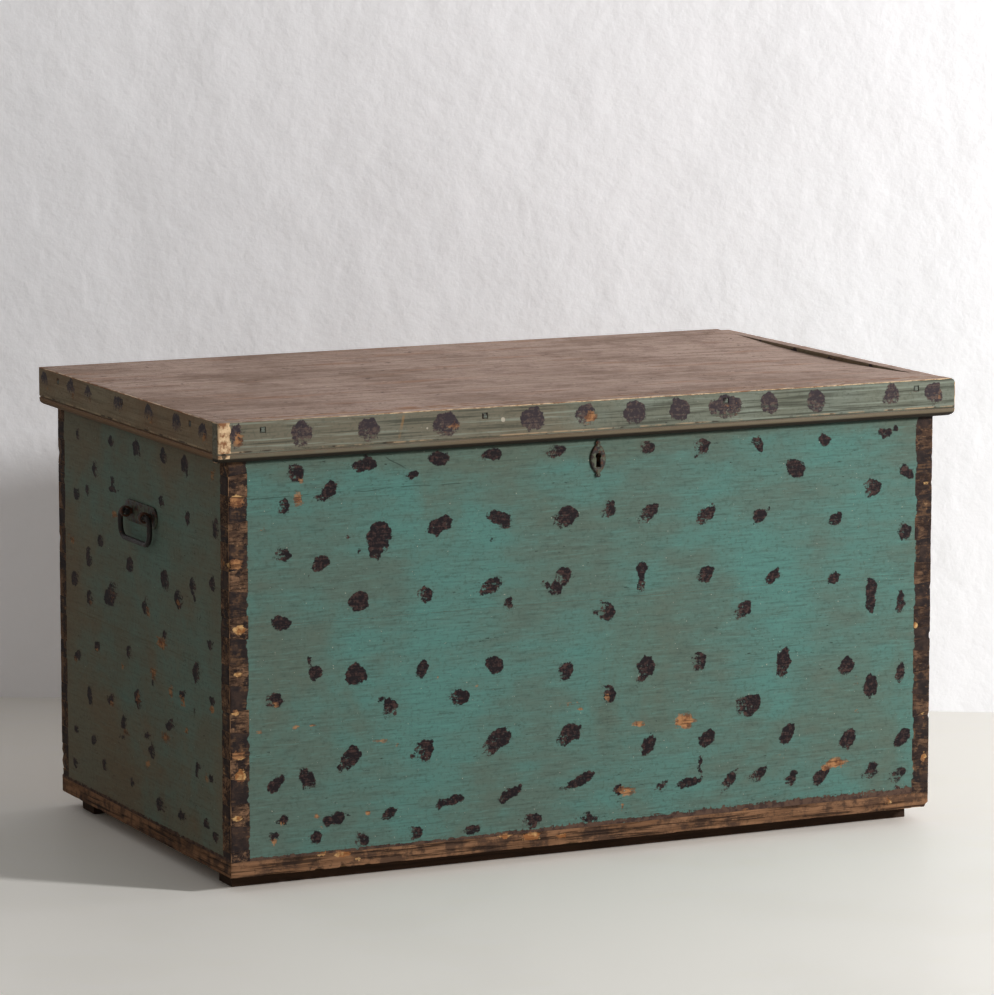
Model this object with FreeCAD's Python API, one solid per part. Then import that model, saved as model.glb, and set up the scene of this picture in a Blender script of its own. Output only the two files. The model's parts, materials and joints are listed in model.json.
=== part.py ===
import FreeCAD, Part
import math
import os

from FreeCAD import Placement, Rotation, Vector

# Case of dovetailed planks, all in millimetres
case_length = 1050.0
case_depth = 620.0
wall_height = 558.0
wall_thickness = 27.0
bottom_thickness = 21.0
bottom_plank_names = ("bottom_front_plank", "bottom_middle_plank", "bottom_rear_plank")

# Dovetails: the front and back carry the tails, the ends carry the pins
tail_count = 9
front_upper_tails = 4
end_upper_tails = 5
tail_width_share = 0.54
tail_slope_share = 0.11
dovetail_clearance = 0.05

# Runners under the bottom
runner_height = 20.0
runner_width = 45.0
runner_edge_inset = 36.0
runner_end_inset = 16.0

# Lid and its mouldings
lid_thickness = 24.0
lid_seat_gap = 0.3
lid_side_gap = 2.0
lid_rear_overhang = 14.0
lid_front_plank_depth = 310.0
moulding_thickness = 20.0
moulding_height = 53.0
fascia_height = 40.0
quirk_height = 2.5
quirk_depth = 2.0

# Strap hinges
hinge_spacing = 640.0
hinge_width = 34.0
hinge_thickness = 3.0
hinge_barrel_radius = 6.0
hinge_pin_radius = 3.0
hinge_knuckle_length = 12.0
hinge_knuckle_gap = 0.4
hinge_clearance = 0.4
hinge_pin_press_clearance = 0.02
hinge_pin_running_clearance = 0.08
strap_length = 250.0
strap_end_width = 22.0
strap_notch_clearance = 0.6
leaf_length = 180.0
leaf_end_width = 24.0
hinge_nail_shares = (0.16, 0.5, 0.84)

# Keyhole and escutcheon
lock_x = 8.0
keyhole_drop = 54.0
keyhole_radius = 4.2
keyhole_length = 19.5
keyhole_neck_width = 5.6
keyhole_foot_width = 7.0
escutcheon_height = 50.0
escutcheon_width = 24.0
escutcheon_thickness = 3.0
escutcheon_bevel = 1.6
escutcheon_drop = 4.0
finial_radius = 3.4

# Chest lock on the inner face of the front
lock_plate_length = 132.0
lock_plate_height = 96.0
lock_plate_thickness = 2.5
lock_plate_drop = 8.0
lock_nail_inset = 8.0
bolt_height = 14.0
bolt_thickness = 7.0
bolt_standoff = 7.0
bolt_drop = 14.0
bolt_travel = 14.0
bolt_tip_gap = 3.0
bolt_tail_length = 9.0
bolt_clearance = 0.25
talon_length = 28.0
talon_height = 9.0
talon_notch_length = 11.0
talon_notch_height = 6.0
talon_clearance = 3.0
guide_length = 8.0
guide_wall = 3.5
bridge_length = 106.0
bridge_height = 40.0
bridge_wall = 2.5
bridge_gap = 4.0
bridge_foot_length = 10.0
key_post_radius = 2.0
key_post_reach = 2.0
spring_thickness = 1.2
spring_rise = 5.0
spring_clearance = 0.3
spring_foot_length = 7.0
spring_foot_height = 6.0

# Keeper on the lid, with the eye that the bolt goes through
keeper_length = 58.0
keeper_depth = 40.0
keeper_thickness = 2.5
keeper_front_gap = 1.5
tongue_thickness = 6.0
tongue_wall = 4.5
eye_clearance = 1.2
keeper_nail_inset = 8.0

# Bail handles on the ends
handle_drop = 139.0
handle_front_shift = 8.0
handle_plate_length = 116.0
handle_plate_height = 30.0
handle_plate_thickness = 2.5
handle_eye_spacing = 68.0
handle_eye_radius = 7.6
handle_eye_thickness = 7.0
handle_eye_slack = 0.6
handle_shank = 7.0
handle_rove = 18.0
handle_rove_thickness = 2.0
bail_offset = 10.5
bail_width = 106.0
bail_drop = 36.0
bail_rod_radius = 4.0
bail_shoulder_radius = 9.0
bail_corner_radius = 16.0
bail_end_length = 5.0
bail_side_count = 8
bend_step_count = 4

# Forged nails: side of the square shank, side of the four-sided head and height of the head
board_nail_side = 4.0
board_nail_head_side = 8.0
board_nail_head_height = 1.5
board_nail_bite = 38.0
iron_nail_side = 3.0
iron_nail_head_side = 8.4
iron_nail_head_height = 1.8
pin_side = 1.6
pin_head_side = 4.0
pin_head_height = 0.8
pin_length = 17.0
nail_cover = 6.0
nail_clearance = 0.1
head_crown_share = 0.55
long_nail_shares = (0.04, 0.2, 0.4, 0.6, 0.8, 0.96)
moulding_nail_shares = (0.04, 0.34, 0.68, 0.96)
short_nail_shares = (0.12, 0.5, 0.88)
runner_nail_shares = (0.06, 0.36, 0.64, 0.94)
overrun = 5.0
flat_tolerance = 0.001

# Levels and faces worked out from the sizes above
bottom_z = runner_height
wall_base_z = bottom_z + bottom_thickness
rim_z = wall_base_z + wall_height
lid_under_z = rim_z + lid_seat_gap
lid_top_z = lid_under_z + lid_thickness
lid_overhang = lid_side_gap + moulding_thickness
lid_depth = lid_overhang + case_depth + lid_rear_overhang
lid_front_y = -lid_depth / 2
lid_back_y = lid_depth / 2
case_front_y = lid_front_y + lid_overhang
case_back_y = case_front_y + case_depth
case_end_x = case_length / 2
plank_end_x = case_end_x + lid_side_gap
plank_front_y = case_front_y - lid_side_gap
lid_end_x = case_end_x + lid_overhang
inner_front_y = case_front_y + wall_thickness
tail_pitch = wall_height / tail_count

X = Vector(1, 0, 0)
Y = Vector(0, 1, 0)
Z = Vector(0, 0, 1)
LEFT, RIGHT = -1, 1
SIDE_NAMES = {LEFT: "left", RIGHT: "right"}


def block(x0, x1, y0, y1, z0, z1):
    """A box between two values on each axis, given in either order."""
    low = Vector(min(x0, x1), min(y0, y1), min(z0, z1))
    return Part.makeBox(abs(x1 - x0), abs(y1 - y0), abs(z1 - z0), low)


def prism(points, along):
    """A straight-sided outline pushed along a vector."""
    return Part.Face(Part.makePolygon(points + points[:1])).extrude(along)


def joined(shapes):
    """Shapes made into one solid, without the seams between them."""
    return shapes[0].fuse(shapes[1:]).removeSplitter()


def skinned(rings):
    """A flat-faced solid through a row of outlines with as many corners each, closed at both ends."""
    loops = [rings[0], rings[-1]]
    for near, far in zip(rings, rings[1:]):
        loops += [[near[i - 1], near[i], far[i], far[i - 1]] for i in range(len(near))]
    faces = [Part.Face(Part.makePolygon(loop + loop[:1])) for loop in loops]
    return Part.makeSolid(Part.makeShell(faces))


def frustum(low_side, low_z, high_side, high_z):
    """A four-sided block about the Z axis that widens or narrows evenly from one square to another."""
    def corners(side, z):
        half = side / 2
        return [Vector(x * half, y * half, z) for x, y in ((-1, -1), (1, -1), (1, 1), (-1, 1))]

    return skinned([corners(low_side, low_z), corners(high_side, high_z)])


class Nail:
    """A square nail with a forged head of four slopes; a sunk one has its head level with the face."""

    def __init__(self, side, head_side, head_height, length, sunk=False):
        self.side = side
        self.head_side = head_side
        self.head_height = head_height
        self.length = length
        self.sunk = sunk

    def placed(self, shape, point, along):
        start = point + along * self.head_height if self.sunk else point
        shape.Placement = Placement(start, Rotation(Z, along))
        return shape

    def solid(self, point, along):
        half = self.side / 2
        shank = Part.makeBox(self.side, self.side, self.length, Vector(-half, -half, 0))
        head = frustum(self.head_side * head_crown_share, -self.head_height, self.head_side, 0)
        return self.placed(joined([shank, head]), point, along)

    def hole(self, point, along):
        half = self.side / 2 + nail_clearance
        depth = self.length + nail_clearance
        cut = Part.makeBox(2 * half, 2 * half, depth + overrun, Vector(-half, -half, -overrun))
        if self.sunk:
            half = self.head_side / 2 + nail_clearance
            depth = self.head_height + overrun
            cut = cut.fuse(Part.makeBox(2 * half, 2 * half, depth, Vector(-half, -half, -depth)))
        return self.placed(cut, point, along)


def spread(low, high, shares):
    return [low + (high - low) * share for share in shares]


def driven(nail, places):
    """The nails of one group and the holes that they are driven into."""
    nails = [nail.solid(point, along) for point, along in places]
    holes = [nail.hole(point, along) for point, along in places]
    return Part.makeCompound(nails), holes


# Walls

def tail(side, index, front_y, grow):
    """One dovetail on a front or back wall, narrow at its root and wide at its tip, with its flanks grown."""
    centre = rim_z - tail_pitch * (index + 0.5)
    mean = tail_pitch * tail_width_share / 2
    flare = tail_slope_share * wall_thickness / 2
    root, tip = mean - flare + grow, mean + flare + grow
    root_x = side * (case_end_x - wall_thickness)
    tip_x = side * case_end_x
    outline = [
        Vector(root_x, front_y, centre - root),
        Vector(tip_x, front_y, centre - tip),
        Vector(tip_x, front_y, centre + tip),
        Vector(root_x, front_y, centre + root),
    ]
    return prism(outline, Y * wall_thickness)


def tails(front_y, sides, grow):
    return [tail(side, i, front_y, grow) for side in sides for i in range(tail_count)]


def long_wall(front_y):
    """A front or back wall: a board with a row of tails on each end."""
    root_x = case_end_x - wall_thickness
    board = block(-root_x, root_x, front_y, front_y + wall_thickness, wall_base_z, rim_z)
    return joined([board] + tails(front_y, (LEFT, RIGHT), 0))


def end_wall(side):
    """An end wall: a board with sockets for the tails, which leaves its pins standing."""
    outer_x = side * case_end_x
    inner_x = side * (case_end_x - wall_thickness)
    board = block(inner_x, outer_x, case_front_y, case_back_y, wall_base_z, rim_z)
    sockets = tails(case_front_y, (side,), dovetail_clearance)
    sockets += tails(case_back_y - wall_thickness, (side,), dovetail_clearance)
    return board.cut(sockets)


def split_wall(wall, upper_tails):
    """The upper and the lower plank of a wall, parted at a whole number of tails below the rim."""
    seam_z = rim_z - tail_pitch * upper_tails
    reach = case_length
    upper = block(-reach, reach, -reach, reach, seam_z, rim_z + overrun)
    lower = block(-reach, reach, -reach, reach, wall_base_z - overrun, seam_z)
    return wall.common(upper), wall.common(lower)


# Bottom, runners and the nails that hold them

def bottom_planks():
    depth = case_depth / len(bottom_plank_names)
    planks = {}
    for i, name in enumerate(bottom_plank_names):
        start_y = case_front_y + depth * i
        planks[name] = block(-case_end_x, case_end_x, start_y, start_y + depth, bottom_z, wall_base_z)
    return planks


def bottom_nail_places():
    """Points on the underside of the bottom, under the middle of each wall's thickness."""
    half_wall = wall_thickness / 2
    places = []
    for y in (case_front_y + half_wall, case_back_y - half_wall):
        for x in spread(wall_thickness - case_end_x, case_end_x - wall_thickness, long_nail_shares):
            places.append((Vector(x, y, bottom_z), Z))
    for x in (half_wall - case_end_x, case_end_x - half_wall):
        for y in spread(case_front_y + wall_thickness, case_back_y - wall_thickness, short_nail_shares):
            places.append((Vector(x, y, bottom_z), Z))
    return places


def runner(start_y):
    end_x = case_end_x - runner_end_inset
    return block(-end_x, end_x, start_y, start_y + runner_width, 0, runner_height)


def runner_nail_places(start_y):
    end_x = case_end_x - runner_end_inset
    y = start_y + runner_width / 2
    return [(Vector(x, y, 0), Z) for x in spread(-end_x, end_x, runner_nail_shares)]


# Lid

def lid_planks():
    seam_y = plank_front_y + lid_front_plank_depth
    front = block(-plank_end_x, plank_end_x, plank_front_y, seam_y, lid_under_z, lid_top_z)
    rear = block(-plank_end_x, plank_end_x, seam_y, lid_back_y, lid_under_z, lid_top_z)
    return front, rear


def moulding_section(corner, outward):
    """The moulding's section: flat fascia, sunk quirk and a quarter round back to the lower edge."""
    ovolo = moulding_height - fascia_height - quirk_height
    turn = ovolo * math.sqrt(0.5)
    centre_out = moulding_thickness - ovolo
    centre_drop = fascia_height + quirk_height

    def at(out, drop):
        return corner + outward * out - Z * drop

    corners = [
        at(centre_out, moulding_height),
        at(0, moulding_height),
        at(0, 0),
        at(moulding_thickness, 0),
        at(moulding_thickness, fascia_height),
        at(moulding_thickness - quirk_depth, fascia_height),
        at(moulding_thickness - quirk_depth, centre_drop),
        at(moulding_thickness, centre_drop),
    ]
    round_edge = Part.Arc(corners[-1], at(centre_out + turn, centre_drop + turn), corners[0])
    edges = [Part.LineSegment(a, b).toShape() for a, b in zip(corners, corners[1:])]
    return Part.Face(Part.Wire(edges + [round_edge.toShape()]))


def front_moulding():
    corner = Vector(-lid_end_x, plank_front_y, lid_top_z)
    return moulding_section(corner, -Y).extrude(X * (2 * lid_end_x))


def side_moulding(side):
    corner = Vector(side * plank_end_x, plank_front_y, lid_top_z)
    return moulding_section(corner, X * side).extrude(Y * (lid_back_y - plank_front_y))


def moulding_nail_places():
    """Points on the fascias, level with the middle of the lid planks' thickness."""
    z = lid_top_z - lid_thickness / 2
    places = [(Vector(x, lid_front_y, z), Y) for x in spread(-plank_end_x, plank_end_x, moulding_nail_shares)]
    for side in (LEFT, RIGHT):
        for y in spread(plank_front_y, lid_back_y, short_nail_shares):
            places.append((Vector(side * lid_end_x, y, z), X * -side))
    return places


# Strap hinges

hinge_axis_y = case_back_y + hinge_barrel_radius + hinge_clearance
hinge_axis_z = lid_under_z - hinge_barrel_radius - hinge_clearance


def hinge_outline(at, length, end_width):
    """A strap that narrows from the hinge's width to a rounded end; at(along, across) gives its points."""
    end_radius = end_width / 2
    straight = length - end_radius
    corners = [
        at(straight, -end_radius),
        at(0, -hinge_width / 2),
        at(0, hinge_width / 2),
        at(straight, end_radius),
    ]
    edges = [Part.LineSegment(a, b).toShape() for a, b in zip(corners, corners[1:])]
    edges.append(Part.Arc(corners[-1], at(length, 0), corners[0]).toShape())
    return Part.Face(Part.Wire(edges))


def barrel(x, length, radius):
    return Part.makeCylinder(radius, length, Vector(x - length / 2, hinge_axis_y, hinge_axis_z), X)


def middle_gap(x):
    """The room that the lid's knuckle turns in, between the two knuckles of the leaf."""
    half = hinge_knuckle_length / 2 + hinge_knuckle_gap
    swing = hinge_barrel_radius + hinge_clearance
    return block(
        x - half, x + half,
        hinge_axis_y - swing - overrun, hinge_axis_y + swing + overrun,
        hinge_axis_z - swing, hinge_axis_z + swing,
    )


def hinge_leaf(x):
    """The leaf on the back wall, with the two outer knuckles."""
    def at(along, across):
        return Vector(x + across, case_back_y, hinge_axis_z - along)

    plate = hinge_outline(at, leaf_length, leaf_end_width).extrude(Y * hinge_thickness)
    body = joined([plate, barrel(x, hinge_width, hinge_barrel_radius)])
    bore = barrel(x, hinge_width + overrun, hinge_pin_radius + hinge_pin_press_clearance)
    return body.cut([middle_gap(x), bore])


def hinge_strap(x):
    """The strap under the lid, with a neck to the middle knuckle."""
    start_y = case_back_y - hinge_clearance

    def at(along, across):
        return Vector(x + across, start_y - along, lid_under_z - hinge_thickness)

    plate = hinge_outline(at, strap_length, strap_end_width).extrude(Z * hinge_thickness)
    half = hinge_knuckle_length / 2
    neck = block(x - half, x + half, start_y, hinge_axis_y, lid_under_z - hinge_thickness, lid_under_z)
    body = joined([plate, neck, barrel(x, hinge_knuckle_length, hinge_barrel_radius)])
    return body.cut(barrel(x, hinge_width, hinge_pin_radius + hinge_pin_running_clearance))


def hinge_pin(x):
    return barrel(x, hinge_width, hinge_pin_radius)


def strap_notch(x):
    """The notch in the back wall's rim that a strap lies in."""
    half = hinge_width / 2 + strap_notch_clearance
    floor_z = lid_under_z - hinge_thickness - strap_notch_clearance
    inner_y = case_back_y - wall_thickness
    return block(x - half, x + half, inner_y - overrun, case_back_y + overrun, floor_z, rim_z + overrun)


def leaf_nail_places(x):
    y = case_back_y + hinge_thickness
    top_z = hinge_axis_z - hinge_barrel_radius
    return [(Vector(x, y, z), -Y) for z in spread(top_z, hinge_axis_z - leaf_length, hinge_nail_shares)]


def strap_nail_places(x):
    z = lid_under_z - hinge_thickness
    start_y = case_back_y - wall_thickness
    end_y = case_back_y - strap_length
    return [(Vector(x, y, z), Z) for y in spread(start_y, end_y, hinge_nail_shares)]


# Keyhole and escutcheon

keyhole_z = rim_z - keyhole_drop


def keyhole(start_y, end_y):
    """The keyhole as a cutter: a round for the key's shank over a slot that widens to its foot."""
    foot_z = keyhole_z - (keyhole_length - keyhole_radius)
    slot = [
        Vector(lock_x - keyhole_neck_width / 2, start_y, keyhole_z),
        Vector(lock_x - keyhole_foot_width / 2, start_y, foot_z),
        Vector(lock_x + keyhole_foot_width / 2, start_y, foot_z),
        Vector(lock_x + keyhole_neck_width / 2, start_y, keyhole_z),
    ]
    round_part = Part.makeCylinder(keyhole_radius, end_y - start_y, Vector(lock_x, start_y, keyhole_z), Y)
    return joined([round_part, prism(slot, Y * (end_y - start_y))])


escutcheon_z = keyhole_z - escutcheon_drop
escutcheon_front_y = case_front_y - escutcheon_thickness


def escutcheon_oval():
    """The escutcheon's outline on the front: two arcs that meet at its top and its foot."""
    half_width = escutcheon_width / 2
    half_height = escutcheon_height / 2 - finial_radius
    top = Vector(lock_x, case_front_y, escutcheon_z + half_height)
    foot = Vector(lock_x, case_front_y, escutcheon_z - half_height)
    right = Part.Arc(top, Vector(lock_x + half_width, case_front_y, escutcheon_z), foot).toShape()
    left = Part.Arc(foot, Vector(lock_x - half_width, case_front_y, escutcheon_z), top).toShape()
    return Part.Face(Part.Wire([right, left]))


def finial_places():
    reach = escutcheon_height / 2 - finial_radius
    return [Vector(lock_x, escutcheon_front_y, escutcheon_z + side * reach) for side in (LEFT, RIGHT)]


def escutcheon():
    """An oval plate with a bevelled front and a small round finial at top and foot."""
    oval = escutcheon_oval().extrude(-Y * escutcheon_thickness)
    rim = [edge for edge in oval.Edges if abs(edge.BoundBox.YMax - escutcheon_front_y) < flat_tolerance]
    finials = [Part.makeCylinder(finial_radius, escutcheon_thickness, point, Y) for point in finial_places()]
    plate = joined([oval.makeChamfer(escutcheon_bevel, rim)] + finials)
    return plate.cut(keyhole(escutcheon_front_y - overrun, case_front_y + overrun))


# Chest lock

plate_back_y = inner_front_y + lock_plate_thickness
plate_top_z = rim_z - lock_plate_drop
bolt_top_z = plate_top_z - bolt_drop
bolt_foot_z = bolt_top_z - bolt_height
bolt_front_y = plate_back_y + bolt_standoff
bolt_back_y = bolt_front_y + bolt_thickness
guide_foot_z = bolt_foot_z - bolt_clearance - guide_wall
bridge_back_y = bolt_back_y + tongue_wall + eye_clearance + bridge_gap

# Along the bolt: the talon swings from one side of the keyhole to the other, clear of a guide at each end
talon_x = lock_x - bolt_travel / 2
talon_sweep = (talon_length + bolt_travel) / 2 + talon_clearance
left_guide_x = lock_x - talon_sweep - guide_length
right_guide_x = lock_x + talon_sweep
bolt_tail_x = left_guide_x - bolt_tail_length
bolt_tip_x = right_guide_x + guide_length + bolt_tip_gap
tongue_x = bolt_tip_x + bolt_tip_gap


def lock_plate():
    half = lock_plate_length / 2
    plate = block(lock_x - half, lock_x + half, inner_front_y, plate_back_y,
                  plate_top_z - lock_plate_height, plate_top_z)
    return plate.cut(keyhole(inner_front_y - overrun, plate_back_y + overrun))


def lock_nail_places():
    half = lock_plate_length / 2 - lock_nail_inset
    levels = (plate_top_z - lock_nail_inset, plate_top_z - lock_plate_height + lock_nail_inset)
    return [(Vector(lock_x + side * half, plate_back_y, z), -Y) for side in (LEFT, RIGHT) for z in levels]


def lock_bolt():
    """A flat bar with a notched talon below it, which the key's bit pushes."""
    bar = block(bolt_tail_x, bolt_tip_x, bolt_front_y, bolt_back_y, bolt_foot_z, bolt_top_z)
    talon_foot_z = bolt_foot_z - talon_height
    half = talon_length / 2
    talon = block(talon_x - half, talon_x + half, bolt_front_y, bolt_back_y, talon_foot_z, bolt_foot_z)
    half = talon_notch_length / 2
    notch = block(talon_x - half, talon_x + half, bolt_front_y - overrun, bolt_back_y + overrun,
                  talon_foot_z - overrun, talon_foot_z + talon_notch_height)
    return joined([bar, talon]).cut(notch)


def bolt_guides():
    """Two blocks riveted to the lock plate, each with a slot that the bolt runs in."""
    slot = block(bolt_tail_x - bolt_travel, bolt_tip_x + bolt_travel,
                 bolt_front_y - bolt_clearance, bolt_back_y + bolt_clearance,
                 bolt_foot_z - bolt_clearance, bolt_top_z + bolt_clearance)
    wall = guide_wall + bolt_clearance
    guides = []
    for x in (left_guide_x, right_guide_x):
        outer = block(x, x + guide_length, plate_back_y, bolt_back_y + wall, guide_foot_z, bolt_top_z + wall)
        guides.append(outer.cut(slot))
    return Part.makeCompound(guides)


def lock_bridge():
    """A bent iron bridge over the key's place, open above and below, with a foot on the plate at each end."""
    outer = bridge_length / 2
    foot_z = guide_foot_z - bridge_height
    back = block(lock_x - outer, lock_x + outer, bridge_back_y, bridge_back_y + bridge_wall,
                 foot_z, guide_foot_z)
    pieces = [back]
    for side in (LEFT, RIGHT):
        wall_x = lock_x + side * outer
        inner_x = wall_x - side * bridge_wall
        foot_x = wall_x + side * bridge_foot_length
        pieces.append(block(inner_x, wall_x, plate_back_y, bridge_back_y, foot_z, guide_foot_z))
        pieces.append(block(wall_x, foot_x, plate_back_y, plate_back_y + bridge_wall, foot_z, guide_foot_z))
    return joined(pieces)


def key_post():
    """The pin that a hollow key turns on, fixed to the bridge and reaching into the keyhole."""
    start_y = plate_back_y - key_post_reach
    return Part.makeCylinder(key_post_radius, bridge_back_y - start_y, Vector(lock_x, start_y, keyhole_z), Y)


def bolt_spring():
    """A bowed leaf spring that rests on the bolt between the guides, with a lug riveted to the plate."""
    rest_z = bolt_top_z + spring_clearance
    start_x = left_guide_x + guide_length + spring_foot_length
    end_x = right_guide_x - spring_clearance
    middle_x = (start_x + end_x) / 2

    def bow(lift):
        places = ((start_x, spring_rise), (middle_x, 0), (end_x, spring_rise))
        return [Vector(x, bolt_front_y, rest_z + rise + lift) for x, rise in places]

    lower, upper = bow(0), bow(spring_thickness)
    edges = [Part.Arc(*lower).toShape(), Part.Arc(*upper).toShape()]
    edges += [Part.LineSegment(lower[i], upper[i]).toShape() for i in (0, -1)]
    leaf = Part.Face(Part.Wire(Part.sortEdges(edges)[0])).extrude(Y * bolt_thickness)
    lug_top_z = rest_z + spring_rise + spring_thickness
    lug = block(start_x - spring_foot_length, start_x, plate_back_y, bolt_back_y,
                lug_top_z - spring_foot_height, lug_top_z)
    return joined([leaf, lug])


# Keeper on the lid

tongue_front_y = bolt_front_y - eye_clearance - tongue_wall
tongue_back_y = bolt_back_y + eye_clearance + tongue_wall
keeper_front_y = inner_front_y + keeper_front_gap


def keeper():
    """A plate under the lid with a tongue that hangs into the lock, pierced for the bolt."""
    half = keeper_length / 2
    middle_x = tongue_x + tongue_thickness / 2
    under_z = lid_under_z - keeper_thickness
    plate = block(middle_x - half, middle_x + half, keeper_front_y, keeper_front_y + keeper_depth,
                  under_z, lid_under_z)
    tongue = block(tongue_x, tongue_x + tongue_thickness, tongue_front_y, tongue_back_y,
                   bolt_foot_z - eye_clearance - tongue_wall, under_z)
    eye = block(tongue_x - overrun, tongue_x + tongue_thickness + overrun,
                bolt_front_y - eye_clearance, bolt_back_y + eye_clearance,
                bolt_foot_z - eye_clearance, bolt_top_z + eye_clearance)
    return joined([plate, tongue]).cut(eye)


def keeper_nail_places():
    middle_x = tongue_x + tongue_thickness / 2
    half = keeper_length / 2 - keeper_nail_inset
    z = lid_under_z - keeper_thickness
    rows = (keeper_front_y + keeper_nail_inset, keeper_front_y + keeper_depth - keeper_nail_inset)
    return [(Vector(middle_x + side * half, y, z), Z) for side in (LEFT, RIGHT) for y in rows]


# Bail handles

handle_z = rim_z - handle_drop
handle_y = case_front_y + case_depth / 2 - handle_front_shift


def handle_plate(side):
    """An oblong back plate with round ends."""
    face_x = side * case_end_x
    radius = handle_plate_height / 2
    half = handle_plate_length / 2 - radius
    middle = block(face_x, face_x + side * handle_plate_thickness, handle_y - half, handle_y + half,
                   handle_z - radius, handle_z + radius)
    ends = [
        Part.makeCylinder(radius, handle_plate_thickness,
                          Vector(face_x, handle_y + end * half, handle_z), X * side)
        for end in (LEFT, RIGHT)
    ]
    return joined([middle] + ends)


def eye_places():
    return [handle_y + end * handle_eye_spacing / 2 for end in (LEFT, RIGHT)]


def eye_shank(side, y, grow):
    """The square shank of an eye, from inside the case out to the eye."""
    half = handle_shank / 2 + grow
    inner_x = case_end_x - wall_thickness - handle_rove_thickness
    outer_x = case_end_x + bail_offset
    return block(side * inner_x, side * outer_x, y - half, y + half, handle_z - half, handle_z + half)


def handle_eyes(side):
    """Two eyes that go through the plate and the wall, where the bail's ends turn."""
    pivot_x = side * (case_end_x + bail_offset)
    eyes = []
    for y in eye_places():
        start = Vector(pivot_x, y - handle_eye_thickness / 2, handle_z)
        ring = Part.makeCylinder(handle_eye_radius, handle_eye_thickness, start, Y)
        bore = Part.makeCylinder(bail_rod_radius + handle_eye_slack, handle_eye_thickness, start, Y)
        eyes.append(joined([ring, eye_shank(side, y, 0)]).cut(bore))
    return Part.makeCompound(eyes)


def handle_roves(side):
    """Square washers inside the case that the eyes' shanks are riveted over."""
    inner_x = side * (case_end_x - wall_thickness)
    half = handle_rove / 2
    roves = []
    for y in eye_places():
        washer = block(inner_x, inner_x - side * handle_rove_thickness, y - half, y + half,
                       handle_z - half, handle_z + half)
        roves.append(washer.cut(eye_shank(side, y, nail_clearance)))
    return Part.makeCompound(roves)


def bail_path():
    """Points along the middle of the bail, as (across, drop) from the middle of the line through the eyes."""
    end_reach = (handle_eye_spacing - handle_eye_thickness) / 2 - bail_end_length
    half = bail_width / 2
    path = [(-end_reach, 0.0)]
    bends = (
        (bail_shoulder_radius - half, bail_shoulder_radius, bail_shoulder_radius, 90),
        (bail_corner_radius - half, bail_drop - bail_corner_radius, bail_corner_radius, 180),
        (half - bail_corner_radius, bail_drop - bail_corner_radius, bail_corner_radius, 270),
        (half - bail_shoulder_radius, bail_shoulder_radius, bail_shoulder_radius, 360),
    )
    for across, drop, radius, start in bends:
        for i in range(bend_step_count + 1):
            angle = math.radians(start + 90 * i / bend_step_count)
            path.append((across + radius * math.cos(angle), drop - radius * math.sin(angle)))
    return path + [(end_reach, 0.0)]


def bail(side):
    """A many-sided forged rod bent to a flat-bottomed bail, with its ends turned in through the eyes."""
    middle = Vector(side * (case_end_x + bail_offset), handle_y, handle_z)
    points = [middle + Y * across - Z * drop for across, drop in bail_path()]
    ways = [(far - near).normalize() for near, far in zip(points, points[1:])]
    angles = [2 * math.pi * i / bail_side_count for i in range(bail_side_count)]
    rings = []
    for point, before, after in zip(points, ways[:1] + ways, ways + ways[-1:]):
        along = (before + after).normalize()
        out = X.cross(along) / along.dot(before)
        rings.append([point + (X * math.cos(a) + out * math.sin(a)) * bail_rod_radius for a in angles])
    return skinned(rings)


# The whole trunk

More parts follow.
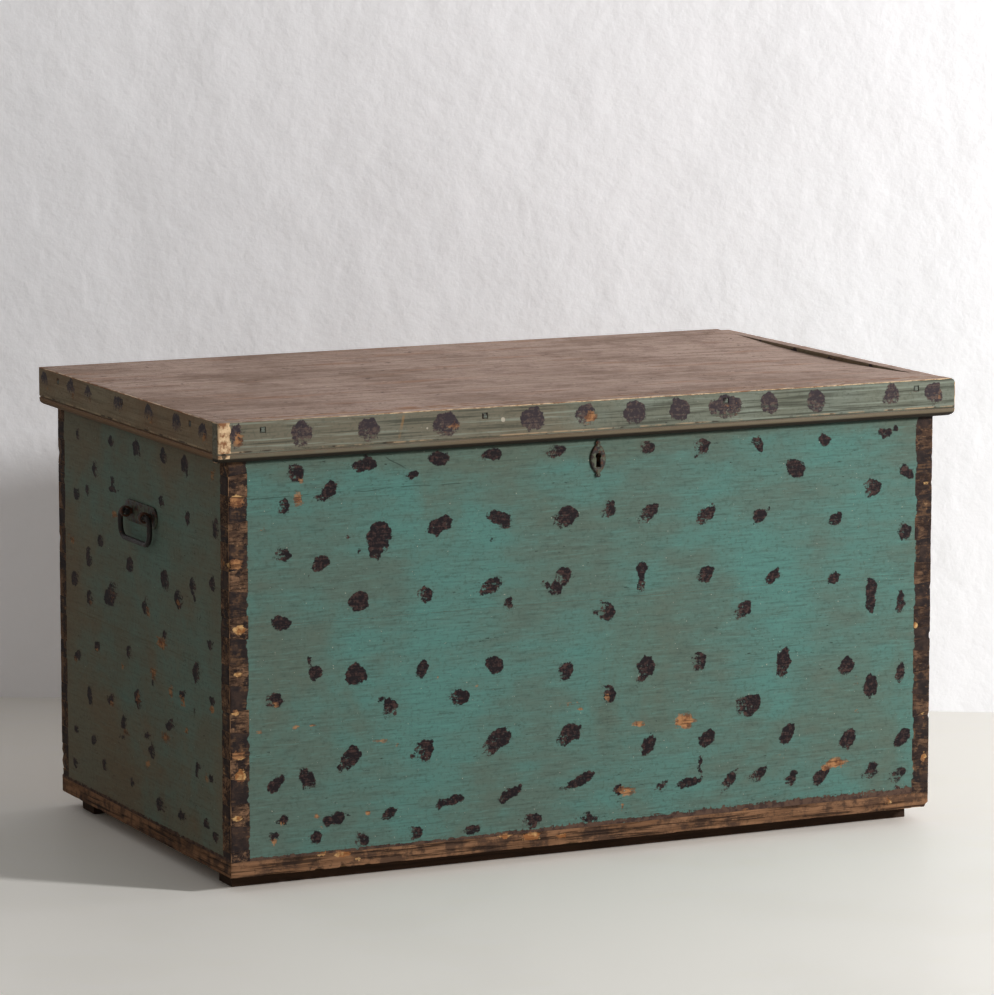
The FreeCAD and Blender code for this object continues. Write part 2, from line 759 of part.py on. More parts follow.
def trunk():
    parts = {}

    front_upper, front_lower = split_wall(long_wall(case_front_y), front_upper_tails)
    back_upper, back_lower = split_wall(long_wall(case_back_y - wall_thickness), front_upper_tails)
    parts["front_upper_plank"] = front_upper.cut(keyhole(case_front_y - overrun, inner_front_y + overrun))
    parts["front_lower_plank"] = front_lower
    parts["back_upper_plank"] = back_upper
    parts["back_lower_plank"] = back_lower
    for side in (LEFT, RIGHT):
        upper, lower = split_wall(end_wall(side), end_upper_tails)
        parts[f"{SIDE_NAMES[side]}_upper_plank"] = upper
        parts[f"{SIDE_NAMES[side]}_lower_plank"] = lower

    parts.update(bottom_planks())
    front_runner_y = case_front_y + runner_edge_inset
    rear_runner_y = case_back_y - runner_edge_inset - runner_width
    parts["front_runner"] = runner(front_runner_y)
    parts["rear_runner"] = runner(rear_runner_y)

    parts["lid_front_plank"], parts["lid_rear_plank"] = lid_planks()
    parts["front_moulding"] = front_moulding()
    parts["escutcheon"] = escutcheon()
    parts["lock_plate"] = lock_plate()
    parts["lock_bolt"] = lock_bolt()
    parts["bolt_guides"] = bolt_guides()
    parts["lock_bridge"] = lock_bridge()
    parts["key_post"] = key_post()
    parts["bolt_spring"] = bolt_spring()
    parts["keeper"] = keeper()

    leaf_places = []
    strap_places = []
    for side in (LEFT, RIGHT):
        name = SIDE_NAMES[side]
        x = side * hinge_spacing / 2
        parts[f"{name}_moulding"] = side_moulding(side)
        parts[f"{name}_hinge_leaf"] = hinge_leaf(x)
        parts[f"{name}_hinge_strap"] = hinge_strap(x)
        parts[f"{name}_hinge_pin"] = hinge_pin(x)
        parts["back_upper_plank"] = parts["back_upper_plank"].cut(strap_notch(x))
        leaf_places += leaf_nail_places(x)
        strap_places += strap_nail_places(x)

        shanks = [eye_shank(side, y, nail_clearance) for y in eye_places()]
        parts[f"{name}_upper_plank"] = parts[f"{name}_upper_plank"].cut(shanks)
        parts[f"{name}_handle_plate"] = handle_plate(side).cut(shanks)
        parts[f"{name}_handle_eyes"] = handle_eyes(side)
        parts[f"{name}_handle_roves"] = handle_roves(side)
        parts[f"{name}_bail"] = bail(side)

    def nailed(group, nail, places, holed):
        """Adds a group of nails and cuts their holes in the pieces that they hold."""
        parts[group], holes = driven(nail, places)
        for name in holed:
            parts[name] = parts[name].cut(holes)

    board = (board_nail_side, board_nail_head_side, board_nail_head_height)
    iron = (iron_nail_side, iron_nail_head_side, iron_nail_head_height)
    pin = (pin_side, pin_head_side, pin_head_height)
    lower_planks = ("front_lower_plank", "back_lower_plank", "left_lower_plank", "right_lower_plank")
    nailed("bottom_nails", Nail(*board, bottom_thickness + board_nail_bite, sunk=True),
           bottom_nail_places(), bottom_plank_names + lower_planks)
    runner_places = runner_nail_places(front_runner_y) + runner_nail_places(rear_runner_y)
    nailed("runner_nails", Nail(*board, runner_height + bottom_thickness - nail_cover, sunk=True),
           runner_places, bottom_plank_names + ("front_runner", "rear_runner"))
    nailed("moulding_nails", Nail(*board, moulding_thickness + board_nail_bite, sunk=True),
           moulding_nail_places(),
           ("front_moulding", "left_moulding", "right_moulding", "lid_front_plank", "lid_rear_plank"))
    nailed("leaf_nails", Nail(*iron, hinge_thickness + wall_thickness - nail_cover), leaf_places,
           ("left_hinge_leaf", "right_hinge_leaf", "back_upper_plank"))
    nailed("strap_nails", Nail(*iron, hinge_thickness + lid_thickness - nail_cover), strap_places,
           ("left_hinge_strap", "right_hinge_strap", "lid_front_plank", "lid_rear_plank"))
    nailed("lock_nails", Nail(*iron, lock_plate_thickness + wall_thickness - nail_cover), lock_nail_places(),
           ("lock_plate", "front_upper_plank"))
    nailed("keeper_nails", Nail(*iron, keeper_thickness + lid_thickness - nail_cover), keeper_nail_places(),
           ("keeper", "lid_front_plank"))
    nailed("escutcheon_pins", Nail(*pin, pin_length), [(point, Y) for point in finial_places()],
           ("escutcheon", "front_upper_plank"))
    return parts


os.makedirs("parts", exist_ok=True)
for name, shape in trunk().items():
    shape.exportStep(f"parts/{name}.step")
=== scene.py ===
import json
import math
import random

import bmesh
import bpy
import numpy as np
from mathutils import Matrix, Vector, noise


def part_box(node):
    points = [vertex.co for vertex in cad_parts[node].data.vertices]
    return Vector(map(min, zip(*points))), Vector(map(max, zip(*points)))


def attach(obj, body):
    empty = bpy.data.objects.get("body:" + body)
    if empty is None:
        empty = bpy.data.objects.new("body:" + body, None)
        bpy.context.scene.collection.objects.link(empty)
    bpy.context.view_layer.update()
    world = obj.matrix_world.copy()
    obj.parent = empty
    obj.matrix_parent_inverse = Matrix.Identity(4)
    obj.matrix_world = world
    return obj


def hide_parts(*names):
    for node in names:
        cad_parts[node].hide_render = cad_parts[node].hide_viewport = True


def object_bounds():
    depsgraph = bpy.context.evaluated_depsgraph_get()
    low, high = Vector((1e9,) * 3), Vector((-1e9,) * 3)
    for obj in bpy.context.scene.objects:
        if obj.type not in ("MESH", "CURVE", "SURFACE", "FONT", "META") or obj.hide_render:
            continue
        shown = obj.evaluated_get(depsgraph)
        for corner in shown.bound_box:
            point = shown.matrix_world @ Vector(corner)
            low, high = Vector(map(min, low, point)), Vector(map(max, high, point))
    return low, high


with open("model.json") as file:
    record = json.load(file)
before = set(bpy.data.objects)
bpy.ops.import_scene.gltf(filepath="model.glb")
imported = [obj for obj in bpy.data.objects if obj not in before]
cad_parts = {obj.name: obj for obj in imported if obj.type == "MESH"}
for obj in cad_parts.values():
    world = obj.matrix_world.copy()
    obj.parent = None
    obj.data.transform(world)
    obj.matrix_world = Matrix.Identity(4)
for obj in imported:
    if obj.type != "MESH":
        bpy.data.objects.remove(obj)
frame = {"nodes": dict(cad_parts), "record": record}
cad_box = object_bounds()

# Units and directions
MM = 0.001
DIRECTIONS = {
    "front": Vector((0, -1, 0)),
    "back": Vector((0, 1, 0)),
    "left": Vector((-1, 0, 0)),
    "right": Vector((1, 0, 0)),
    "top": Vector((0, 0, 1)),
    "under": Vector((0, 0, -1)),
}
AXIS = {"X": 0, "Y": 1, "Z": 2}

# How the boards are cut up and how far their edges are worn, in metres
FINE_PITCH = 3.6 * MM
PLAIN_PITCH = 8 * MM
FINE_PITCHES = tuple((axis, FINE_PITCH) for axis in AXIS)
RIMS = (2 * MM, 6 * MM)
MERGE_GAP = 0.002 * MM
CUT_GAP = 0.01 * MM
FLAT_ANGLE = math.radians(0.5)
SHARP_ANGLE = math.radians(35)
ON_BOX = 1 * MM
JOINT_WEAR = 0.12 * MM
CORNER_WEAR = 0.7 * MM
CORNER_CHIP = 4.5 * MM
CHIP_SCALE = 38

# Paint marks, in millimetres: the level they are read down from, a depth that is clear of any paint mark,
# the dark bands along the corners, the band of painted shadow along the walls' top under the lid's moulding
# and how far a crack fades at its ends
MARK_TOP = 620
FAR_FROM_PAINT = -40.0
BAND_WIDTH = 26
LID_SHADOW_BAND = 563, 569
STROKE_FADE = 8


def box_of(*nodes):
    """Lowest and highest corner of several nodes together."""
    lows, highs = zip(*(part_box(node) for node in nodes))
    return Vector(map(min, *lows)), Vector(map(max, *highs))


WALLS = [f"{side}_{row}_plank" for side in ("front", "back", "left", "right") for row in ("upper", "lower")]
BOTTOMS = [f"bottom_{place}_plank" for place in ("front", "middle", "rear")]
LID_PLANKS = ["lid_front_plank", "lid_rear_plank"]
MOULDINGS = ["front_moulding", "left_moulding", "right_moulding"]
case_low, case_high = box_of(*WALLS, *BOTTOMS)
lid_low, lid_high = box_of(*LID_PLANKS, *MOULDINGS)
panel_low, panel_high = box_of(*LID_PLANKS)
wall_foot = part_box("front_lower_plank")[0].z
moulding_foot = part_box("front_moulding")[0].z
BODY = {node: body for body, nodes in frame["record"]["behaviour"]["bodies"].items() for node in nodes}


# Dark dabs: across from the left, down, length, width, tilt up to the right, and how dry the brush was
FRONT_DABS = [
    (95, 71, 21, 20, 0, 0.3), (193, 65, 33, 17), (300, 64, 27, 16), (377, 63, 28, 15),
    (471, 65, 31, 15, 0, 0.4), (608, 68, 23, 18, 0, 0.35), (689, 72, 22, 22, 0, 0.5), (681, 87, 6, 4),
    (776, 73, 22, 15, -55, 0.2), (879, 74, 19, 15, -50, 0.1), (977, 70, 19, 13, -25, 0.1),
    (991, 65, 4, 5), (259, 86, 16, 12, 20, 0.5), (248, 95, 4, 6), (143, 96, 28, 17, 38, 0.1),
    (126, 106, 14, 10, 38, 0.8), (77, 114, 20, 16, 0, 0.4), (835, 111, 28, 25, -30, 0.05),
    (1009, 126, 28, 14, -35, 0.1), (953, 145, 28, 23, 0, 0.45), (75, 178, 23, 15, -15, 0.4),
    (128, 193, 30, 17, 38, 0.2), (213, 159, 36, 31), (209, 180, 34, 16, 90), (222, 172, 20, 8, 90),
    (301, 153, 34, 19, 12), (296, 162, 14, 12), (386, 149, 33, 18, -12, 0.15),
    (395, 157, 18, 9, 0, 0.2), (377, 176, 7, 4, 90), (487, 154, 32, 26, 30, 0.2),
    (468, 160, 12, 10, 0, 0.7), (549, 149, 24, 22, 0, 0.55), (611, 157, 36, 19, 35, 0.35),
    (697, 165, 35, 18, 33, 0.3), (780, 173, 24, 16, 40, 0.05), (794, 163, 10, 5, 35),
    (898, 184, 20, 15, 50, 0.05), (1007, 210, 26, 18, -65, 0.15), (184, 245, 28, 27),
    (279, 243, 20, 20, 0, 0.5), (377, 238, 30, 20, 25, 0.25), (362, 249, 8, 5, 0, 0.6),
    (482, 234, 26, 24, 35, 0.45), (471, 249, 22, 18, 40, 0.1), (458, 243, 8, 6, 0, 0.3),
    (601, 232, 20, 16), (600, 246, 26, 13, 80, 0.2), (697, 247, 24, 21, 30, 0.1),
    (802, 256, 22, 14, 40, 0.05), (895, 267, 20, 16, 35, 0.05), (74, 266, 27, 17, -8),
    (955, 283, 24, 17, 90), (954, 296, 40, 12, 90), (953, 340, 5, 4), (1001, 309, 28, 13, 90, 0.2),
    (546, 285, 28, 24, -30, 0.45), (529, 287, 8, 6, 0, 0.3), (753, 300, 30, 20, 15, 0.4),
    (401, 270, 32, 8, 90, 0.75), (121, 337, 19, 18, 30), (114, 319, 10, 3, 90), (179, 343, 31, 29),
    (275, 344, 24, 17, 70, 0.1), (381, 346, 24, 24), (485, 363, 24, 25, 0, 0.35),
    (607, 366, 28, 26, 30, 0.15), (600, 381, 14, 12, 40, 0.3), (688, 366, 23, 25, 0, 0.4),
    (818, 376, 36, 19, 85, 0.1), (917, 389, 26, 19, 50, 0.1), (955, 422, 32, 22, 80, 0.05),
    (1003, 406, 26, 12, 90, 0.3), (64, 369, 20, 17, 0, 0.3), (229, 395, 30, 20, 90, 0.55),
    (214, 378, 9, 9, 0, 0.5), (329, 386, 28, 20, 10, 0.2), (549, 399, 25, 22, 0, 0.5),
    (765, 432, 38, 29, 20, 0.3), (171, 454, 36, 25, 42, 0.1), (154, 467, 10, 9, 40, 0.6),
    (277, 453, 28, 27, 30, 0.35), (260, 460, 9, 6, 30, 0.4), (387, 446, 34, 27, 30, 0.1),
    (372, 459, 18, 16, 30, 0.5), (491, 450, 36, 24, 28, 0.15), (63, 479, 31, 14, 45),
    (108, 474, 22, 17, -40, 0.05), (112, 488, 24, 17, 90, 0.8), (610, 476, 29, 15, 62),
    (699, 474, 29, 18, 45), (825, 477, 26, 17, 50, 0.05), (920, 493, 32, 22, 48, 0.15),
    (1007, 499, 26, 20, 42, 0.05), (73, 528, 16, 9, 20, 0.2), (61, 548, 15, 10, 0, 0.2),
    (150, 533, 34, 16, 10), (227, 533, 27, 12, 32, 0.1), (314, 525, 36, 12, 14), (404, 524, 38, 14, 27),
    (508, 515, 39, 14, 20), (566, 534, 16, 12, 30, 0.3), (629, 534, 26, 12, 30, 0.55),
    (677, 531, 33, 12, 8, 0.05), (734, 538, 32, 14, 48, 0.45), (780, 530, 32, 13, 22, 0.4),
    (830, 543, 26, 13, 55, 0.5), (877, 541, 28, 16, 48, 0.1), (957, 540, 32, 15, 55, 0.4),
    (999, 550, 28, 16, 45, 0.5), (1000, 572, 14, 8, 0, 0.4), (121, 557, 20, 18, 0, 0.1),
    (184, 564, 24, 15, 0, 0.5), (262, 563, 22, 18, 0, 0.6), (347, 568, 20, 13, 0, 0.1),
    (434, 563, 32, 17, 15, 0.5), (521, 568, 30, 14, -12, 0.35), (185, 178, 8, 3, 90),
    (168, 160, 6, 3, 0, 0.5), (690, 510, 16, 4, 90),
]
LEFT_DABS = [
    (82, 81, 22, 16, 0, 0.7), (206, 75, 22, 14, 10, 0.3), (298, 72, 26, 20, -10, 0.2), (312, 80, 8, 6),
    (396, 72, 22, 20, -20, 0.2), (472, 73, 24, 22, -30, 0.15), (479, 85, 7, 7),
    (148, 122, 30, 20, 0, 0.7), (212, 130, 16, 16, 0, 0.4), (213, 141, 18, 3),
    (115, 155, 18, 12, 0, 0.4), (71, 166, 26, 14, 20, 0.2), (388, 135, 20, 16, -15, 0.4),
    (481, 143, 20, 16, -25, 0.15), (576, 143, 22, 24, -15, 0.3), (162, 219, 24, 16, 0, 0.2),
    (117, 247, 26, 26, 15, 0.4), (270, 237, 26, 18, 0, 0.2), (397, 238, 28, 26, -15, 0.2),
    (447, 257, 28, 26, 35, 0.4), (496, 232, 20, 20, 0, 0.3), (502, 247, 7, 8),
    (566, 218, 20, 20, 0, 0.3), (62, 287, 26, 20, 30, 0.3), (117, 305, 30, 20, 0, 0.4),
    (202, 287, 54, 28, 28, 0.4), (330, 285, 30, 22, 20, 0.6), (556, 299, 18, 12, 0, 0.2),
    (396, 313, 18, 12, 20, 0.3), (508, 346, 24, 28, 0, 0.35), (265, 358, 22, 14, 10, 0.5),
    (144, 368, 20, 14, 10, 0.2), (352, 386, 10, 10, 0, 0.4), (458, 382, 18, 10, 10, 0.3),
    (561, 375, 18, 10, 0, 0.2), (71, 394, 28, 12, 18, 0.1), (299, 417, 30, 26, 0, 0.5),
    (114, 442, 20, 24, 0, 0.25), (194, 436, 26, 12, 15, 0.3), (411, 433, 30, 14, 20, 0.2),
    (244, 458, 22, 18, 15, 0.35), (236, 481, 12, 4), (335, 461, 20, 6, 0, 0.5),
    (345, 480, 22, 18, 10, 0.3), (510, 470, 18, 8, 5, 0.2), (509, 477, 16, 18, 0, 0.6),
    (556, 479, 16, 8, 0, 0.2), (61, 500, 16, 10, 0, 0.4), (130, 502, 22, 12, 15, 0.3),
    (169, 531, 18, 14, 0, 0.4), (56, 550, 20, 12, 0, 0.4), (275, 536, 18, 10, 0, 0.5),
    (376, 547, 32, 18, 12, 0.5), (452, 548, 24, 14, 0, 0.3), (539, 543, 20, 12, 10, 0.3),
    (570, 555, 22, 14, 0, 0.4), (499, 405, 10, 3, 90),
]

# Places where the paint is rubbed off to the wood: across, down, width, height, strength
FRONT_RUBS = [
    (103, 82, 8, 10, 0.8), (98, 106, 16, 20, 0.9), (92, 121, 12, 6, 0.6), (45, 142, 16, 6, 0.5),
    (64, 374, 13, 10, 0.7), (94, 407, 12, 9, 0.7), (116, 406, 12, 8, 0.7), (41, 409, 14, 6, 0.6),
    (215, 435, 24, 8, 0.6), (239, 442, 6, 12, 0.4), (299, 357, 12, 6, 0.7), (122, 527, 9, 9, 0.9),
    (129, 542, 9, 6, 0.6), (196, 530, 12, 8, 1.0), (72, 532, 10, 8, 0.7), (61, 555, 12, 14, 0.8),
    (548, 404, 16, 14, 0.6), (493, 408, 36, 5, 0.7), (508, 417, 10, 8, 0.9), (666, 447, 34, 22, 1.3),
    (596, 445, 24, 9, 1.0), (355, 374, 10, 5, 0.5), (572, 557, 8, 16, 0.8), (578, 535, 30, 14, 1.0),
    (934, 413, 10, 18, 0.35), (901, 525, 36, 15, 1.3), (884, 531, 12, 12, 1.0), (935, 455, 12, 9, 0.6),
    (817, 510, 14, 8, 0.5), (1026, 342, 8, 10, 1.0), (866, 559, 12, 6, 0.4), (600, 258, 8, 6, 0.6),
    (12, 103, 22, 18, 1.2), (10, 185, 20, 16, 1.2), (14, 271, 20, 12, 1.2), (12, 330, 16, 8, 0.8),
    (8, 380, 14, 10, 0.8), (12, 437, 20, 14, 1.2), (14, 465, 16, 20, 1.1), (10, 520, 16, 10, 0.8),
    (1040, 145, 14, 10, 0.5), (1043, 292, 12, 14, 0.5), (1040, 470, 14, 16, 0.6),
    (1042, 530, 12, 20, 0.8),
]
LEFT_RUBS = [
    (570, 73, 18, 22, 0.8), (215, 175, 34, 10, 0.8), (50, 232, 40, 16, 0.7), (444, 262, 20, 16, 0.7),
    (384, 326, 46, 20, 0.9), (352, 371, 26, 22, 0.8), (416, 388, 20, 26, 0.7), (457, 392, 24, 18, 0.9),
    (560, 386, 20, 16, 0.9), (142, 374, 18, 8, 0.8), (296, 417, 26, 20, 0.8), (198, 440, 26, 10, 0.7),
    (396, 452, 34, 14, 0.8), (250, 470, 44, 12, 0.7), (204, 290, 30, 18, 0.6), (336, 290, 20, 16, 0.7),
    (120, 310, 20, 12, 0.6), (240, 380, 18, 14, 0.7), (470, 430, 22, 12, 0.7), (330, 500, 26, 14, 0.7),
    (540, 478, 16, 14, 0.7), (60, 400, 14, 12, 0.6),
]
FOOT_RUBS = [
    (130, 578, 22, 8, 0.8), (158, 582, 28, 10, 1.0), (182, 590, 14, 10, 0.7), (395, 580, 26, 8, 0.9),
    (436, 584, 40, 12, 1.0), (478, 588, 26, 10, 0.8), (640, 592, 18, 8, 0.6), (760, 580, 26, 8, 0.7),
    (985, 585, 22, 12, 0.7),
]

# Dabs along the mouldings: across, width, dryness and how far they are rubbed
FRONT_MOULDING_DABS = [
    (2, 18, 0.4, 0.9), (94, 28, 0.3, 0), (189, 30, 0.3, 0), (300, 38, 0.2, 0.5), (426, 34, 0.1, 0),
    (505, 28, 0.5, 0.9), (577, 34, 0.1, 0), (644, 32, 0.1, 0), (715, 46, 0.3, 0.3), (781, 26, 0.2, 0),
    (853, 26, 0.2, 0), (970, 24, 0.4, 0), (1037, 26, 0.3, 0.2),
]
LEFT_MOULDING_DABS = [
    (10, 26, 0.8, 0.3), (112, 30, 0.8, 0.5), (178, 28, 0.9, 0.4), (290, 30, 0.7, 0.3),
    (400, 32, 0.8, 0.5), (500, 30, 0.6, 0.5), (590, 26, 0.7, 0.7),
]

# Old cracks in the front: across and up at both ends, and width, in millimetres of the part's frame
FRONT_CRACKS = [
    (-500, 519, -190, 521, 0.8), (-305, 565, -272, 543, 1.1), (453, 345, 486, 344, 1.1),
]
MOULDING_DRIPS = [(-284, 622, -293, 586, 2.4)]

# Nail holes and a fleck in the front moulding: across, up, width and shade, in the same frame; the dark spot
# is painted shade inside a nail hole
MOULDING_SPOTS = [(-539, 580, 8, 30), (-142, 605, 7, 188), (-252, 600, 3, 180)]


class Marks:
    """Dabs and rubbed places of one painted side, each an ellipse placed across and up in millimetres."""

    def __init__(self, dabs=(), rubs=()):
        self.dabs = np.array(dabs, dtype=float)
        self.rubs = np.array(rubs, dtype=float)

    @staticmethod
    def inside(rows, across, up):
        """How far each place is inside each ellipse, as a share and in millimetres, and where along."""
        x, z, long, short, tilt, _ = rows.T[:, :, None]
        turn = np.radians(tilt)
        along = ((across - x) * np.cos(turn) + (up - z) * np.sin(turn)) * 2 / long
        aside = ((up - z) * np.cos(turn) - (across - x) * np.sin(turn)) * 2 / short
        share = 1 - np.hypot(along, aside)
        return share, share * np.minimum(long, short) / 2, along

    def read(self, across, up):
        """Depth inside the nearest dab, how dry the paint is there, and how far it is rubbed off."""
        depth = np.full(len(across), FAR_FROM_PAINT)
        dry = np.zeros(len(across))
        rub = np.zeros(len(across))
        if len(self.dabs):
            _, depths, along = self.inside(self.dabs, across, up)
            nearest = depths.argmax(axis=0)
            depth = depths.max(axis=0)
            tail = -np.take_along_axis(along, nearest[None], axis=0)[0].clip(-1, 1)
            dry = np.clip(self.dabs[nearest, 5] * (0.7 + 0.8 * tail) + 0.14 * tail, 0, 1)
        if len(self.rubs):
            shares, _, _ = self.inside(self.rubs, across, up)
            rub = (np.clip(shares + 0.35, 0, 1) * self.rubs[:, 5:]).max(axis=0)
        return depth, dry, rub


def side_marks(dabs, rubs, start, step):
    """Marks written across a side and down from the lid's level, turned to the part's frame."""
    dab_rows = []
    for row in dabs:
        across, down, long, short, tilt, dry = (*row, 0, 0)[:6]
        dab_rows.append((start + step * across, MARK_TOP - down, long, short, step * tilt, dry))
    rub_rows = [(start + step * across, MARK_TOP - down, wide, tall, 0, strength)
                for across, down, wide, tall, strength in rubs]
    return Marks(dab_rows, rub_rows)


def scattered(width, height, spacing, seed):
    """Dabs in loose rows for a side that the view doesn't show."""
    draw = random.Random(seed)
    rows = []
    for row in range(int(height / spacing)):
        for column in range(int(width / spacing)):
            across = (column + 0.5 + 0.5 * (row % 2) + draw.uniform(-0.2, 0.2)) * spacing
            down = 60 + (row + 0.5 + draw.uniform(-0.2, 0.2)) * spacing
            if across < width - 40:
                size = draw.uniform(20, 32)
                rows.append((across, down, size, size * draw.uniform(0.55, 0.9), draw.uniform(-10, 50),
                             draw.choice((0.05, 0.15, 0.3, 0.5))))
    return rows


def moulding_marks(rows, start, step, up, tall):
    """Dabs along a moulding's fascia."""
    dabs = [(start + step * across, up, tall, wide, 90, dry) for across, wide, dry, _ in rows]
    rubs = [(start + step * (across + wide * 0.25), up - 3, wide * 0.8, tall * 0.7, 0, rubbed)
            for across, wide, _, rubbed in rows if rubbed]
    return Marks(dabs, rubs)


# Finishes

def srgb(red, green, blue):
    """A colour written in 0 to 255, as linear light."""
    def linear(value):
        share = value / 255
        return share / 12.92 if share <= 0.04045 else ((share + 0.055) / 1.055) ** 2.4

    return (linear(red), linear(green), linear(blue), 1)


def tinted(colour, share):
    """A colour made darker or paler."""
    return (*(value * share for value in colour[:3]), 1)


class Tone:
    """A value that varies over a surface; sums and products of tones add Math nodes."""

    def __init__(self, finish, socket):
        self.finish = finish
        self.socket = socket

    def math(self, operation, first, second):
        return self.finish.node("Math", {"operation": operation}, {0: first, 1: second})

    def __add__(self, other):
        return self.math("ADD", self, other)

    __radd__ = __add__

    def __sub__(self, other):
        return self.math("SUBTRACT", self, other)

    def __rsub__(self, other):
        return self.math("SUBTRACT", other, self)

    def __mul__(self, other):
        return self.math("MULTIPLY", self, other)

    __rmul__ = __mul__

    def over(self, low, high):
        """Nought below the low value, one above the high one and smooth between."""
        settings = {"interpolation_type": "SMOOTHSTEP"}
        return self.finish.node("MapRange", settings, {"Value": self, "From Min": low, "From Max": high})

    def folded(self, size):
        """The value folded back and forth, for rings and lines."""
        return self.math("PINGPONG", self, size)

    def away(self, middle):
        """How far the value is from another, either way."""
        return self.math("MAXIMUM", self - middle, middle - self)


class Finish:
    """One procedural material, built up in layers."""

    def __init__(self, name, grain="X"):
        self.material = bpy.data.materials.new(name)
        self.material.use_nodes = True
        self.tree = self.material.node_tree
        self.shader = self.tree.nodes["Principled BSDF"]
        self.place = self.node("TexCoord", output="Object")
        self.grain = grain
        self.colour = None
        self.rough = 0.6
        self.height = 0.0

    def plug(self, socket, value):
        if isinstance(value, Tone):
            self.tree.links.new(value.socket, socket)
        else:
            socket.default_value = value

    def node(self, kind, settings=None, inputs=None, output=0):
        made = self.tree.nodes.new("ShaderNode" + kind)
        for key, value in (settings or {}).items():
            setattr(made, key, value)
        for key, value in (inputs or {}).items():
            self.plug(made.inputs[key], value)
        return Tone(self, made.outputs[output])

    def along(self, axis):
        """The place along one axis, in millimetres."""
        return self.node("SeparateXYZ", None, {0: self.place}, AXIS[axis]) * (1 / MM)

    def noise(self, scale, detail=3, roughness=0.55, where=None, distortion=0.0):
        inputs = {"Vector": where or self.place, "Scale": scale, "Detail": detail, "Roughness": roughness,
                  "Distortion": distortion}
        return self.node("TexNoise", None, inputs)

    def wobble(self, scale, size, detail=3):
        """Noise about nought."""
        return (self.noise(scale, detail, 0.6) - 0.5) * size

    def grainy(self, along, across, detail=3, roughness=0.55):
        """Noise drawn out along the grain, in waves per metre along and across it."""
        scale = [across] * 3
        scale[AXIS[self.grain]] = along
        where = self.node("VectorMath", {"operation": "MULTIPLY"}, {0: self.place, 1: scale})
        return self.noise(1, detail, roughness, where)

    def stroke(self, start_across, start_up, end_across, end_up, width):
        """A thin wavering line between two points of the side, in millimetres."""
        run, rise = end_across - start_across, end_up - start_up
        length = math.hypot(run, rise)
        right = self.along(self.grain) - start_across
        high = self.along("Z") - start_up
        along = right * (run / length) + high * (rise / length)
        aside = high * (run / length) - right * (rise / length) + self.wobble(16, 9, 2)
        line = 1 - aside.away(0).over(width / 2, width)
        ends = along.over(0, STROKE_FADE) * (1 - along.over(length - STROKE_FADE, length))
        return line * ends * self.noise(45, 2).over(0.38, 0.5)

    def spot(self, across, up, width):
        """A small ragged round spot on the side, in millimetres."""
        right = self.along(self.grain) - across
        high = self.along("Z") - up
        reach = right * right + high * high + self.wobble(160, width * width * 0.3)
        return 1 - reach.over(width * width * 0.15, width * width * 0.25)

    def reads(self, attribute):
        return self.node("Attribute", {"attribute_name": attribute}, output="Fac")

    def mix(self, factor, below, above):
        return self.node("Mix", {"data_type": "RGBA"}, {0: factor, 6: below, 7: above}, output=2)

    def ground(self, colour, rough):
        self.colour = colour
        self.rough = rough

    def lay(self, factor, colour, rise=0.0, rough=0.0):
        """Lays a colour over what is there, and raises the surface, in metres, and its roughness."""
        self.colour = self.mix(factor, self.colour, colour)
        if rise:
            self.height = self.height + factor * rise
        if rough:
            self.rough = self.rough + factor * rough

    def close(self, metallic=0.0, specular=0.1):
        """Joins the layers to the shader."""
        self.plug(self.shader.inputs["Base Color"], self.colour)
        self.plug(self.shader.inputs["Roughness"], self.rough)
        self.plug(self.shader.inputs["Metallic"], metallic)
        self.plug(self.shader.inputs["Specular IOR Level"], specular)
        relief = self.node("Bump", None, {"Height": self.height, "Distance": 1.0, "Strength": 1.0})
        self.plug(self.shader.inputs["Normal"], relief)
        return self.material


def pine(finish, pale, dark, deep):
    """Colour and relief of bare pine: wavy rings drawn out along the grain, with fine fibres."""
    drift = finish.grainy(1.6, 22, 2)
    rings = (drift * 9 + finish.grainy(5, 90, 2) * 0.8).folded(0.5) * 2
    fibre = finish.grainy(9, 620, 3)
    colour = finish.mix(rings.over(0.25, 0.95) * 0.75, pale, dark)
    colour = finish.mix(fibre.over(0.5, 0.72) * 0.55, colour, deep)
    colour = finish.mix(finish.noise(7, 5, 0.65).over(0.5, 0.72) * 0.35, colour, deep)
    return colour, fibre * -0.00025 + rings * -0.00012


